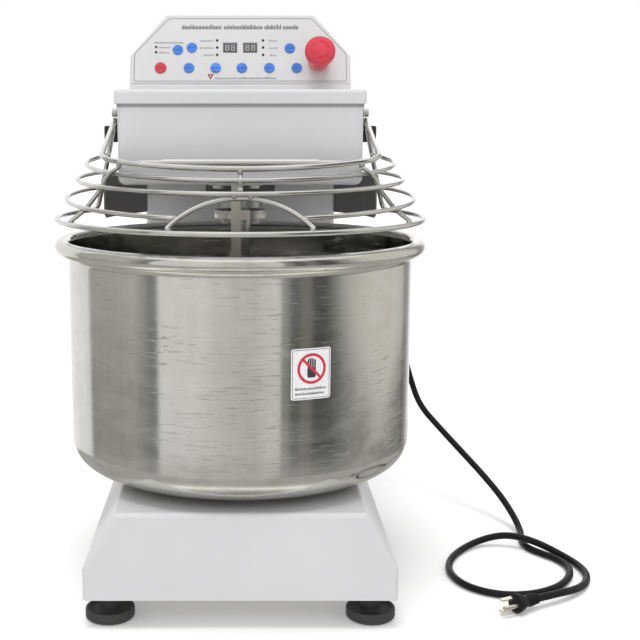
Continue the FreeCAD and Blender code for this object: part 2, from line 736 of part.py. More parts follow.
def head_sprockets():
    """Sprockets of the head chain: the driving one and the spindle's."""
    z = (HEAD_CHAIN_Z - SPROCKET / 2, HEAD_CHAIN_Z + SPROCKET / 2)
    driving, driving_tip = sprocket(30, (0, DRIVE_Y), z, SHAFT)
    driven, driven_tip = sprocket(15, (0, HOOK_Y), z, SHAFT)
    chain = chain_loop(DRIVE_Y, driving_tip + GAP, HOOK_Y, driven_tip + GAP, z)
    return driving, driven, chain


def base_sprockets():
    """Sprockets of the bowl chain: the small driving one and the bowl's."""
    z = (BASE_CHAIN_Z - SPROCKET / 2, BASE_CHAIN_Z + SPROCKET / 2)
    driving, driving_tip = sprocket(12, (0, DRIVE_Y), z, SHAFT)
    driven, driven_tip = sprocket(60, (0, 0), z, 17.5)
    for spoke in range(6):
        angle = math.radians(60 * spoke)
        driven = driven.cut(post(26.0, (74 * math.cos(angle), 74 * math.sin(angle)), z))
    chain = chain_loop(0, driven_tip + GAP, DRIVE_Y, driving_tip + GAP, z)
    return driving, driven, chain


# ---------------------------------------------------------------- hook

def under_bolt_places():
    """Bolts of the plate under the head."""
    return [(x, HOOK_Y + y) for x in (-33, 33) for y in (-33, 33)]


def under_plate():
    """Black plate under the head that the spindle housing is bolted through."""
    low = HEAD_BOTTOM - UNDER_PLATE
    plate = block((-42, 42), (HOOK_Y - 42, HOOK_Y + 42), (low, HEAD_BOTTOM))
    plate = plate.cut(post(28.2, (0, HOOK_Y), (low - 1, HEAD_BOTTOM + 1)))
    for place in under_bolt_places():
        plate = plate.cut(post(3.1, place, (low - 1, HEAD_BOTTOM + 1)))
    return plate


def under_plate_bolts():
    """Bolts through the plate, the head's floor and the spindle housing's flange."""
    bolts = []
    for x, y in under_bolt_places():
        low = Vector(x, y, HEAD_BOTTOM - UNDER_PLATE)
        head = hexagon(10, low - Vector(0, 0, 4), low)
        bolts.append(head.fuse(rod(3.0, low, low + Vector(0, 0, UNDER_PLATE + 12))).removeSplitter())
    return bolts


def spindle_housing():
    """Round bearing housing of the hook's spindle."""
    flange_z = (HEAD_BOTTOM + SHEET, HEAD_BOTTOM + SHEET + 8)
    flange = block((-42, 42), (HOOK_Y - 42, HOOK_Y + 42), flange_z)
    for place in under_bolt_places():
        flange = flange.cut(post(3.1, place, (flange_z[0] - 1, flange_z[1] + 1)))
    body = flange.fuse(post(28.0, (0, HOOK_Y), (431, 520)))
    body = body.cut(post(23.5 + FIT, (0, HOOK_Y), (434, 521)))
    return body.cut(post(SHAFT + 1.0, (0, HOOK_Y), (430, 440))).removeSplitter()


def spindle_bearings():
    """Two bearings of the hook's spindle."""
    return [ball_bearing((0, HOOK_Y), z, SHAFT + FIT, 23.5) for z in ((436, 448), (502, 514))]


def spindle():
    """Spindle shaft with its coupling flange."""
    shaft = post(SHAFT, (0, HOOK_Y), (FLANGE_Z[1], 545))
    flange = post(FLANGE, (0, HOOK_Y), (FLANGE_Z[1], FLANGE_Z[2]))
    for place in flange_bolt_places():
        flange = flange.cut(post(3.1, place, (FLANGE_Z[1] - 1, FLANGE_Z[2] + 1)))
    return shaft.fuse(flange).removeSplitter()


def flange_bolt_places():
    """Four bolts of the coupling flange."""
    turns = [math.radians(45 + 90 * bolt) for bolt in range(4)]
    return [(25 * math.cos(turn), HOOK_Y + 25 * math.sin(turn)) for turn in turns]


def flange_bolts():
    """Bolts that hold the hook's flange up to the spindle's."""
    bolts = []
    for x, y in flange_bolt_places():
        low = Vector(x, y, FLANGE_Z[0])
        head = hexagon(10, low - Vector(0, 0, 6), low)
        bolts.append(head.fuse(rod(3.0, low, low + Vector(0, 0, 9))).removeSplitter())
    return group(bolts)


def hook_route():
    """Centre line of the spiral: out from the shaft, round and down, and in at the bottom."""
    points = [Vector(0, HOOK_Y, 400), Vector(0, HOOK_Y, 362)]
    turns, step = 12, 34.0
    for index in range(turns + 1):
        share = index / turns
        radius = HOOK_SWEEP * min(1.0, 0.52 + 0.24 * index)
        if index > turns - 2:
            radius = HOOK_SWEEP * (0.86 if index == turns - 1 else 0.56)
        angle = math.radians(200 + step * index)
        z = 338 - 170 * share ** 0.92
        points.append(Vector(radius * math.cos(angle), HOOK_Y + radius * math.sin(angle), z))
    return points


def spiral_hook():
    """Hook: flange, straight shaft and spiral rod in one piece."""
    flange = post(FLANGE, (0, HOOK_Y), (FLANGE_Z[0], FLANGE_Z[1]))
    for place in flange_bolt_places():
        flange = flange.cut(post(3.1, place, (FLANGE_Z[0] - 1, FLANGE_Z[1] + 1)))
    spiral = swept_points(hook_route(), HOOK_ROD)
    tip = Part.makeSphere(HOOK_ROD, hook_route()[-1])
    shaft = post(SHAFT, (0, HOOK_Y), (385, FLANGE_Z[0] + 1))
    return flange.fuse([shaft, spiral, tip]).removeSplitter()


def bar_bolt_places():
    """Bolts of the breaker bar's foot, under the head."""
    return [(x, -3.0) for x in (-26, 16)]


def breaker_bar():
    """Flat bar that hangs into the bowl and splits the dough, with its foot plate."""
    bar = block(BAR_X, BAR_Y, (BAR_BOTTOM, HEAD_BOTTOM - 6))
    bar = rounded(bar, 4.0, lambda start, end: abs(start.z - BAR_BOTTOM) < 0.1
                  and abs(end.z - BAR_BOTTOM) < 0.1 and abs(start.x - end.x) > 5)
    bar = bar.cut(block((BAR_X[0] - 1, BAR_X[1] + 1), (BAR_Y[0] - 1, BAR_Y[0] + 3), (446, HEAD_BOTTOM)))
    foot = block((-36, 26), (BAR_Y[0], BAR_Y[1]), (HEAD_BOTTOM - 6, HEAD_BOTTOM))
    for place in bar_bolt_places():
        foot = foot.cut(post(3.1, place, (HEAD_BOTTOM - 7, HEAD_BOTTOM + 1)))
    return bar.fuse(foot).removeSplitter()


def bar_block():
    """Square block clamped to the right face of the breaker bar."""
    return block((BAR_X[1], BAR_X[1] + 11), (BAR_Y[0] + 4, BAR_Y[0] + 15), (424, 435.5))


def bar_bolts():
    """Bolts of the breaker bar: two in its foot and one in its front face."""
    bolts = []
    for x, y in bar_bolt_places():
        low = Vector(x, y, HEAD_BOTTOM - 6)
        head = hexagon(10, low - Vector(0, 0, 4), low)
        bolts.append(head.fuse(rod(3.0, low, low + Vector(0, 0, 12))).removeSplitter())
    front = Vector(BAR_X[0] + 5.5, BAR_Y[0] + 3, 455)
    bolts.append(rod(3.5, front, front - Vector(0, 2.5, 0)))
    return bolts


# ---------------------------------------------------------------- guard

def end_wire_point(z):
    """Centre of the right end wire at a height."""
    share = (z - 440) / (538 - 440)
    return Vector(175.0 + share * (ARM_X - 175.0), 106.0 + share * (HINGE_Y + 4 - 106.0), z)


def guard_low_ring():
    """Thick bottom ring, whose ends turn up to the hinge plates as the end wires."""
    leave = 119.0
    start = ring_point(LOW_RING, leave)
    right = bend(start, ring_heading(LOW_RING, leave), end_wire_point(538), 9.0)
    middle = ring_arc(LOW_RING, -leave, leave)
    begin = mirrored(Part.Vertex(end_wire_point(538))).Point
    heading = end_wire_point(440) - end_wire_point(538)
    return swept(mirrored_route(right, middle), THICK_WIRE, begin, Vector(-heading.x, heading.y, heading.z))


def to_end_wire(ring, leave, z):
    """Right half of a ring that leaves its circle and butts against the end wire."""
    wire = end_wire_point(z)
    start = ring_point(ring, leave)
    approach = direction(start, wire)
    return start, bend(start, ring_heading(ring, leave), wire - approach * (THICK_WIRE + 0.1), 30.0)


def guard_ring(name, leave, z):
    """An upper ring in one piece, from end wire to end wire."""
    ring = RINGS[name]
    _, right = to_end_wire(ring, leave, z)
    middle = ring_arc(ring, -leave, leave)
    last = right[-1].Vertexes[-1].Point
    before = right[-1].Vertexes[0].Point
    begin = Vector(-last.x, last.y, last.z)
    heading = Vector(last.x - before.x, before.y - last.y, before.z - last.z)
    return swept(mirrored_route(right, middle), THIN_WIRE, begin, heading)


def guard_ring_4():
    """The ring that the arch interrupts: one wire on each side."""
    ring = RINGS["guard_ring_4"]
    opening = math.degrees(math.asin(65.0 / ring[0]))
    start, right = to_end_wire(ring, 113.0, 455.0)
    first = ring_point(ring, opening)
    side = swept([ring_arc(ring, opening, 113.0)] + right, THIN_WIRE, first, ring_heading(ring, opening))
    return both_sides(side)


def guard_top_wire():
    """Top wire: a shallow front arc that turns back and up as the two side arms."""
    corner = Vector(127, -136, 495.5)
    front = Part.Arc(Vector(-127, -136, 495.5), Vector(0, -161, 489), corner)
    heading = front.tangent(front.LastParameter)[0]
    heading = heading if heading.x > 0 else heading * -1
    target = Vector(ARM_X, HINGE_Y - 6, 538)
    right = bend(corner, heading, target, 34.0)
    last, before = target, right[-1].Vertexes[0].Point
    begin = Vector(-last.x, last.y, last.z)
    start_heading = Vector(last.x - before.x, before.y - last.y, before.z - last.z)
    return swept(mirrored_route(right, front.toShape()), THICK_WIRE, begin, start_heading)


def guard_cross_bar():
    """Straight bar behind the top wire."""
    y, z = CROSS_BAR
    return rod(THIN_WIRE, Vector(-CROSS_BAR_HALF, y, z), Vector(CROSS_BAR_HALF, y, z))


def guard_sleeve():
    """Loose sleeve over the middle of the cross bar."""
    y, z = CROSS_BAR
    hole = rod(THIN_WIRE + FIT, Vector(-90, y, z), Vector(90, y, z))
    return rod(4.0, Vector(-SLEEVE_HALF, y, z), Vector(SLEEVE_HALF, y, z)).cut(hole)


def beside(name, angle, outwards, upwards):
    """A point beside a ring's wire, where a rib is welded to it."""
    radius, front_z, rise = RINGS[name]
    return ring_point((radius + outwards, front_z + upwards, rise), angle)


def guard_ribs():
    """One rib each side from the top wire to the bottom ring, and a short one at the front."""
    low = ring_point((LOW_RING[0] - 1.5, LOW_RING[1] + THICK_WIRE + 0.6, 0.0), 61.0)
    side = swept_points([
        Vector(126.5, -137.0, 490.0), beside("guard_ring_2", 50.0, 5.2, 0.0),
        beside("guard_ring_3", 55.0, -5.1, -2.4), beside("guard_ring_4", 59.0, -4.7, -3.0), low,
    ], THIN_WIRE)
    front = swept_points([
        Vector(0, -160, 483.6), beside("guard_ring_2", 0.0, -4.5, -4.2), Vector(0, -184.6, 469.0),
    ], THIN_WIRE)
    return group([side, mirrored(side), front, guard_arch()])


def guard_arch():
    """Arch over the feed opening, from the bottom ring up to the third ring."""
    foot = ring_point((LOW_RING[0] - 1.5, LOW_RING[1] + THICK_WIRE + 1.2, 0.0), 20.6)
    apex = Vector(0, -184.7, 460.8)
    arc = Part.Arc(Vector(-foot.x, foot.y, foot.z), apex, foot)
    heading = arc.tangent(arc.FirstParameter)[0]
    return swept([arc.toShape()], THIN_WIRE, Vector(-foot.x, foot.y, foot.z), heading)


def guard_hinge_plates():
    """Plates at the wires' upper ends, which turn on the hinge pins."""
    outline = [
        (HINGE_Y - 11, 524), (HINGE_Y + 10, 524), (HINGE_Y + 8, HINGE_Z + 3), (HINGE_Y + 3, HINGE_Z + 7.5),
        (HINGE_Y - 3, HINGE_Z + 7.5), (HINGE_Y - 8, HINGE_Z + 3),
    ]
    corners = [Vector(PLATE_X[0], y, z) for y, z in outline + outline[:1]]
    plate = Part.Face(Part.makePolygon(corners)).extrude(Vector(PLATE_X[1] - PLATE_X[0], 0, 0))
    start, end = Vector(PLATE_X[0] - 1, HINGE_Y, HINGE_Z), Vector(PLATE_X[1] + 1, HINGE_Y, HINGE_Z)
    hole = rod(HINGE_PIN + FIT, start, end)
    return both_sides(plate.cut(hole))


def hinge_pins():
    """Shoulder pins through the head's sides, with a washer head outside."""
    inner = Vector(COLUMN_HALF - 12, HINGE_Y, HINGE_Z)
    outer = Vector(PLATE_X[1] + GAP, HINGE_Y, HINGE_Z)
    pin = rod(HINGE_PIN, inner, outer + Vector(1, 0, 0))
    pin = pin.fuse(rod(5.2, outer, outer + Vector(6, 0, 0))).removeSplitter()
    return [pin, mirrored(pin)]


def hinge_bushes():
    """Spacer bushes between the head's sides and the hinge plates."""
    start = Vector(COLUMN_HALF, HINGE_Y, HINGE_Z)
    end = Vector(PLATE_X[0] - GAP, HINGE_Y, HINGE_Z)
    bush = rod(7.0, start, end).cut(rod(HINGE_PIN, start - Vector(1, 0, 0), end + Vector(1, 0, 0)))
    return [bush, mirrored(bush)]


def guard_stop():
    """Block on the head's right side that the end wire rests against; one holds the switch."""
    body = block((COLUMN_HALF, 168), (91.0, 110.0), (511, 531))
    return rounded(body, 2.0, lambda start, end: start.x > 160 and end.x > 160)


def side_shield():
    """Curved splash shield from the column's right corner forward beside the bowl."""
    rear, bulge, tip = Vector(131, 244, 413), Vector(160, 196, 413), Vector(175.5, 136, 413)
    outer = Part.Arc(rear, bulge, tip)
    centre = outer.toShape().Curve.Center
    inner_points = [p + direction(p, centre) * SHEET for p in (rear, bulge, tip)]
    band = Part.Face(Part.Wire([
        outer.toShape(),
        Part.LineSegment(tip, inner_points[2]).toShape(),
        Part.Arc(inner_points[2], inner_points[1], inner_points[0]).toShape(),
        Part.LineSegment(inner_points[0], rear).toShape(),
    ])).extrude(Vector(0, 0, 53))
    tab = block((COLUMN_HALF, COLUMN_HALF + SHEET), (242, 266), (413, 466))
    shield = band.fuse(tab).removeSplitter()
    corner = block((150, 200), (100, 149), (400, 426)).cut(
        rod(13.0, Vector(100, 149, 426), Vector(250, 149, 426)))
    return shield.cut(corner)


# ---------------------------------------------------------------- feet and cord

def foot_places():
    """Centres of the four feet."""
    return [(x, y) for x in (-FOOT_X, FOOT_X) for y in FOOT_Y]


def feet():
    """Rubber feet: a dished pad with a raised rim, and a neck up to the chassis."""
    hole, neck, rim = FOOT_STUD + 0.1, 11.0, FOOT_RADIUS
    outline = [(hole, 4), (17, 4), (18, 0), (rim - 3, 0), (rim, 3), (rim, 11), (rim - 1.5, 12.5),
               (rim - 3, 12.5), (rim - 6, 9.5), (neck + 2, 9.5), (neck, 11.5),
               (neck, FOOT_HEIGHT), (hole, FOOT_HEIGHT)]
    profile = Part.Face(Part.makePolygon([Vector(r, 0, z) for r, z in outline + outline[:1]]))
    foot = profile.revolve(Vector(0, 0, 0), Vector(0, 0, 1), 360)
    return group([foot.translated(Vector(x, y, 0)) for x, y in foot_places()])


def foot_studs():
    """Threaded studs with a nut above the chassis plate."""
    studs = []
    for x, y in foot_places():
        stud = post(FOOT_STUD, (x, y), (10, FOOT_HEIGHT + 16))
        nut = hexagon(16, Vector(x, y, FOOT_HEIGHT + 5), Vector(x, y, FOOT_HEIGHT + 13))
        studs.append(stud.fuse(nut).removeSplitter())
    return group(studs)


def cord():
    """Mains lead, from the strain relief down to the floor and round one loose loop."""
    edges, radii = rounded_route(CORD_ROUTE)
    tube = swept(edges, CORD, CORD_ROUTE[0], direction(CORD_ROUTE[0], CORD_ROUTE[1]))
    length = sum(edge.Length for edge in edges)
    print("cord length %.0f, radii %s" % (length, " ".join("%.0f" % radius for radius in radii)))
    print("cord volume %.2f of section times length" % (tube.Volume / (math.pi * CORD ** 2 * length)))
    return tube


def cord_gland():
    """Nut and body of the cord gland in the column's side."""
    body = rod(9.0, GLAND - Vector(12, 0, 0), GLAND + Vector(2, 0, 0))
    return body.fuse(hexagon(24, GLAND, GLAND + Vector(7, 0, 0))).removeSplitter()


def strain_relief():
    """Tapered sleeve on the lead where it leaves the gland."""
    start = GLAND + Vector(7, 0, 0)
    return Part.makeCone(9.0, 5.8, CORD_ROUTE[0].x - start.x, start, Vector(1, 0, 0))


def plug_body():
    """Moulded plug with a ribbed collar."""
    heading = PLUG_HEADING
    body = Part.makeCone(5.4, 8.0, PLUG_NECK, PLUG_END, heading)
    grip = Part.makeCylinder(11.5, PLUG_LENGTH - PLUG_NECK, PLUG_END + heading * PLUG_NECK, heading)
    body = body.fuse(grip)
    for rib in range(3):
        body = body.fuse(Part.makeCylinder(7.6, 1.6, PLUG_END + heading * (3 + 4 * rib), heading))
    return body.removeSplitter()


def plug_blades():
    """Two flat blades, one over the other, and a round earth pin beside them."""
    heading = PLUG_HEADING
    sideways = Vector(-heading.y, heading.x, 0)
    face = PLUG_END + heading * PLUG_LENGTH
    pieces = []
    for level in (-1, 1):
        blade = Part.makeBox(17, 6.3, 1.5, Vector(0, -3.15, -0.75))
        middle = face - sideways * 2.5 + Vector(0, 0, 6.35 * level)
        blade.Placement = FreeCAD.Placement(middle, FreeCAD.Rotation(Vector(1, 0, 0), heading))
        pieces.append(blade)
    pieces.append(Part.makeCylinder(2.4, 19, face + sideways * 5.5, heading))
    return group(pieces)


def main():
    os.makedirs("parts", exist_ok=True)
    head_driving, head_driven, head_chain = head_sprockets()
    base_driving, base_driven, base_chain = base_sprockets()
    pieces = {
        "base_shell": base_shell(),
        "base_chassis": base_chassis(),
        "column_shell": column_shell(),
        "rear_cover": rear_cover(),
        "rear_cover_screws": rear_cover_screws(),
        "head_shell": head_shell(),
        "head_cover": head_cover(),
        "panel_housing": panel_housing(),
        "panel_label": panel_label(),
        "displays": displays(),
        "indicator_leds": indicator_leds(),
        "control_board": control_board(),
        "estop_collar": estop_collar(),
        "estop_sleeve": estop_sleeve(),
        "estop_head": estop_head(),
        "bowl": bowl(),
        "bowl_shaft": group([bowl_shaft(), base_driven]),
        "bowl_bearing_housing": bowl_bearing_housing(),
        "shaft_bearings": shaft_bearings(),
        "bowl_chain": base_chain,
        "drive_shaft": group([drive_shaft(), head_driving, base_driving]),
        "drive_bearing_block": drive_bearing_block(),
        "gearbox_housing": gearbox_housing(),
        "motor_housing": group([motor_housing(), motor_stator(), fan_cowl()]),
        "motor_rotor": group([motor_rotor(), motor_fan()]),
        "hook_chain": head_chain,
        "under_plate": under_plate(),
        "head_bolts": group(under_plate_bolts() + bar_bolts()),
        "spindle_housing": spindle_housing(),
        "spindle": group([spindle(), head_driven]),
        "spiral_hook": spiral_hook(),
        "flange_bolts": flange_bolts(),
        "breaker_bar": group([breaker_bar(), bar_block()]),
        "guard_low_ring": guard_low_ring(),
        "guard_ring_2": guard_ring("guard_ring_2", 98.0, 497.0),
        "guard_ring_3": guard_ring("guard_ring_3", 109.0, 475.0),
        "guard_ring_4": guard_ring_4(),
        "guard_top_wire": guard_top_wire(),
        "guard_cross_bar": group([guard_cross_bar(), guard_sleeve()]),
        "guard_ribs": guard_ribs(),
        "guard_hinge_plates": guard_hinge_plates(),
        "hinge_pins": group(hinge_pins() + hinge_bushes()),
        "guard_stops": both_sides(guard_stop()),
        "side_shields": both_sides(side_shield()),
        "feet": feet(),
        "foot_studs": foot_studs(),
        "cord_gland": cord_gland(),
        "strain_relief": strain_relief(),
        "cord": cord(),
        "plug_body": plug_body(),
        "plug_blades": plug_blades(),
    }
    for name, shape in pieces.items():
        save(name, shape)
    for number, place in enumerate(BLUE_KEYS, 1):
        save(f"key_blue_{number}", key(*place))
    save("key_red", key(*RED_KEY))


main()
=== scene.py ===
import json
import math
import random

import bmesh
import bpy
from mathutils import Matrix, Vector
from mathutils.bvhtree import BVHTree


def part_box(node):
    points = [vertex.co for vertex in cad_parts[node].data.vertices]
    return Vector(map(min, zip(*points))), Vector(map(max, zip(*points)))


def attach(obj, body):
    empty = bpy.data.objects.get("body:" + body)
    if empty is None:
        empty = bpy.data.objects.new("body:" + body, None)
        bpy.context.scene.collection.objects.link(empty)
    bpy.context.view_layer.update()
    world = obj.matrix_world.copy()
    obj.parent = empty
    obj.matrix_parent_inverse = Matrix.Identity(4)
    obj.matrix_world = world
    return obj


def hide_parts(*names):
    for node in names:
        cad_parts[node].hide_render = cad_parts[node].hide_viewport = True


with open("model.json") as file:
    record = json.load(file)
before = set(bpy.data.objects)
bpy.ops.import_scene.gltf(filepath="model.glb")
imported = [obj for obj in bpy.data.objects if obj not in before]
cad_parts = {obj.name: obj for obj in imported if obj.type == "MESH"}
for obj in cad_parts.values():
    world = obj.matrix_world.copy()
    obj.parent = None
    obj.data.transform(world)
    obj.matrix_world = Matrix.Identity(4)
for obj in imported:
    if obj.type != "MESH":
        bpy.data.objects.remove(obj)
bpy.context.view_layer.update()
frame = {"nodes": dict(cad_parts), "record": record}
nodes = frame["nodes"]
random.seed(7)

# Everything below is in metres. MM turns the part's millimetres into metres.
MM = 0.001
bowl_low, bowl_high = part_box("bowl")
BOWL_Y = (bowl_low.y + bowl_high.y) / 2
BOWL_BOTTOM = bowl_low.z
RIM_TOP = bowl_high.z
RIM_OUTSIDE = bowl_high.x
BOWL_RADIUS = 200 * MM
BOWL_WALL = 1.5 * MM
BOWL_FILLET = 32 * MM
RIM_TUBE = (RIM_OUTSIDE - BOWL_RADIUS + BOWL_WALL) / 2
FOOT_PLACES = [(x, y) for x in (-143, 143) for y in (-155, 430)]
PANEL_TILT = math.radians(23)
PANEL_ORIGIN = (0, 20, 576)
LABEL_FACE = 0.8
ESTOP = (91.5, 31)
SENSOR_WIDTH = 36.0
LENS = 64.69
LENS_SHIFT = 0.1245
CAMERA_PLACE = (0, -1347, 539)
CAMERA_PITCH = math.radians(80.1)


def at(x, y, z):
    """A point given in millimetres from the bowl's axis and the floor, in the frame."""
    return Vector((x * MM, y * MM + BOWL_Y, z * MM))


# ---------------------------------------------------------------- camera

def camera():
    """A camera in front of the bowl, looking slightly down."""
    data = bpy.data.cameras.new("camera")
    data.sensor_width = SENSOR_WIDTH
    data.lens = LENS
    data.shift_x = LENS_SHIFT
    data.clip_end = 200.0
    view = bpy.data.objects.new("camera", data)
    view.location = at(*CAMERA_PLACE)
    view.rotation_euler = (CAMERA_PITCH, 0, 0)
    bpy.context.scene.collection.objects.link(view)
    bpy.context.scene.camera = view


camera()


# ---------------------------------------------------------------- mains lead

CORD_DIAMETER = 8.6 * MM
CORD_EXIT = (171, 330, 240)
CORD_ROUTE = [
    CORD_EXIT, (199, 330, 239), (226, 323, 226), (241, 311, 199),
    (250, 302, 163), (262, 289, 127), (287, 251, 102), (311, 213, 79),
    (335, 177, 56), (354, 145, 35), (365, 118, 17), (368, 97, 7),
    (365, 77, 4.5), (361, 56, 4.5), (364, 36.5, 4.5), (375, 20.5, 4.5),
    (390, 2, 4.5), (399, -24, 4.5), (391, -56, 4.5), (369, -87, 4.5),
    (333, -108, 4.5), (294, -109, 4.5), (261, -84, 4.5), (249, -42, 4.5),
    (258, 0, 4.5), (281, 36, 4.5), (309, 58, 8), (337, 57, 15),
    (361, 45, 15), (381, 30, 11), (399, 10, 6), (411, -16, 4.5),
    (414, -46, 4.5), (404, -76, 4.5), (385, -101, 8), (359, -121, 11.7),
    (330, -135.5, 11.7),
]


def mains_lead():
    """The lead: one smooth curve from the strain relief to the plug.

    The bevel is 1 m and each point's radius scales it down, so that the curve's bounds come out right.
    """
    curve = bpy.data.curves.new("mains_lead", "CURVE")
    curve.dimensions = "3D"
    line = curve.splines.new("NURBS")
    line.points.add(len(CORD_ROUTE) - 1)
    for point, place in zip(line.points, CORD_ROUTE):
        point.co = (*at(*place), 1)
        point.radius = CORD_DIAMETER / 2
    line.order_u = 3
    line.use_endpoint_u = True
    line.resolution_u = 8
    curve.bevel_depth = 1.0
    curve.bevel_resolution = 6
    curve.use_fill_caps = True
    lead = bpy.data.objects.new("mains_lead", curve)
    bpy.context.scene.collection.objects.link(lead)
    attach(lead, "frame")
    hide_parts("cord")
    return lead


lead = mains_lead()


# ---------------------------------------------------------------- mesh tools

def add_object(name, mesh, body, replaced=(), smooth=True):
    """Put a mesh in the scene, on a body, with smooth or flat faces, and hide the CAD parts it replaces."""
    for face in mesh.polygons:
        face.use_smooth = smooth
    piece = bpy.data.objects.new(name, mesh)
    bpy.context.scene.collection.objects.link(piece)
    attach(piece, body)
    if replaced:
        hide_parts(*replaced)
    return piece


def mesh_from(name, bm):
    """A finished mesh from a bmesh, with its faces turned outwards."""
    bmesh.ops.recalc_face_normals(bm, faces=bm.faces)
    mesh = bpy.data.meshes.new(name)
    bm.to_mesh(mesh)
    bm.free()
    return mesh


def turned(profile, segments=96):
    """A bmesh turned about Z from a closed or axis-to-axis outline of (radius, height) in mm."""
    bm = bmesh.new()
    rings = []
    for radius, height in profile:
        if radius < 1e-6:
            rings.append([bm.verts.new((0, 0, height * MM))])
            continue
        ring = []
        for step in range(segments):
            turn = 2 * math.pi * step / segments
            x, y = radius * MM * math.cos(turn), radius * MM * math.sin(turn)
            ring.append(bm.verts.new((x, y, height * MM)))
        rings.append(ring)
    for low, high in zip(rings, rings[1:]):
        for step in range(segments):
            after = (step + 1) % segments
            corners = [low[step % len(low)], low[after % len(low)],
                       high[after % len(high)], high[step % len(high)]]
            kept = list(dict.fromkeys(corners))
            if len(kept) > 2:
                bm.faces.new(kept)
    return bm


def arc(centre, radius, first, last, steps):
    """Points of an arc in a profile, angles in degrees from the outward direction."""
    points = []
    for step in range(steps + 1):
        angle = math.radians(first + (last - first) * step / steps)
        points.append((centre[0] + radius * math.cos(angle), centre[1] + radius * math.sin(angle)))
    return points


def drawing(outlines, low, high, place, slice_width=0.0):
    """A thin raised print: flat outlines in mm given a thickness, then moved by place(x, y, out)."""
    bm = bmesh.new()
    for outline in outlines:
        bm.faces.new([bm.verts.new((x, y, low)) for x, y in outline])
    bmesh.ops.remove_doubles(bm, verts=bm.verts, dist=1e-4)
    if slice_width:
        across = [vert.co.x for vert in bm.verts]
        cut = min(across) + slice_width
        while cut < max(across):
            everything = bm.verts[:] + bm.edges[:] + bm.faces[:]
            bmesh.ops.bisect_plane(bm, geom=everything, plane_co=(cut, 0, 0), plane_no=(1, 0, 0))
            cut += slice_width
    raised = bmesh.ops.extrude_face_region(bm, geom=bm.faces[:])["geom"]
    for vert in [item for item in raised if isinstance(item, bmesh.types.BMVert)]:
        vert.co.z = high
    for vert in bm.verts:
        vert.co = place(*vert.co)
    return bm


def on_panel(x, y, out):
    """A place on the leaning panel: mm across, up the slope and out of it."""
    lean = Matrix.Rotation(math.pi / 2 - PANEL_TILT, 3, "X")
    return at(*PANEL_ORIGIN) + lean @ Vector((x, y, out)) * MM


def bar(x, y, width, height):
    """Outline of a small bar with its left end at x and its middle at y."""
    half = height / 2
    return [(x, y - half), (x + width, y - half), (x + width, y + half), (x, y + half)]


def disc(x, y, radius, corners=24):
    """Outline of a round dot."""
    turns = [2 * math.pi * step / corners for step in range(corners)]
    return [(x + radius * math.cos(turn), y + radius * math.sin(turn)) for turn in turns]


def band(outline, width):
    """Outlines of the strip just inside a closed outline."""
    count = len(outline)
    middle = (sum(x for x, _ in outline) / count, sum(y for _, y in outline) / count)
    inner = []
    for index, (x, y) in enumerate(outline):
        before, after = outline[index - 1], outline[(index + 1) % count]
        first = Vector((x - before[0], y - before[1])).normalized()
        second = Vector((after[0] - x, after[1] - y)).normalized()
        inward = Vector((-first.y - second.y, first.x + second.x)).normalized()
        if inward.dot(Vector((middle[0] - x, middle[1] - y))) < 0:
            inward = -inward
        reach = width / max(0.3, math.cos(first.angle(second) / 2))
        inner.append((x + inward.x * reach, y + inward.y * reach))
    return [
        [outline[index - 1], outline[index], inner[index], inner[index - 1]]
        for index in range(count)
    ]


def rounded_box(x, y, width, height, radius, steps=6):
    """Outline of a rectangle with round corners, centred at x, y."""
    outline = []
    corners = [(1, 1, 0), (-1, 1, 90), (-1, -1, 180), (1, -1, 270)]
    for side, level, first in corners:
        centre = (x + side * (width / 2 - radius), y + level * (height / 2 - radius))
        outline += arc(centre, radius, first, first + 90, steps)
    return outline


# ---------------------------------------------------------------- materials

class Graph:
    """A node graph, with short calls for making and joining nodes."""

    def node(self, kind, **settings):
        made = self.tree.nodes.new(kind)
        for key, value in settings.items():
            setattr(made, key, value)
        return made

    def join(self, source, target):
        self.tree.links.new(source, target)

    def put(self, socket, value):
        """Link a node's output, or set a plain value."""
        if isinstance(value, bpy.types.NodeSocket):
            self.join(value, socket)
        else:
            socket.default_value = value

    def maths(self, operation, first, second=0.0):
        made = self.node("ShaderNodeMath", operation=operation)
        self.put(made.inputs[0], first)
        self.put(made.inputs[1], second)
        return made.outputs[0]


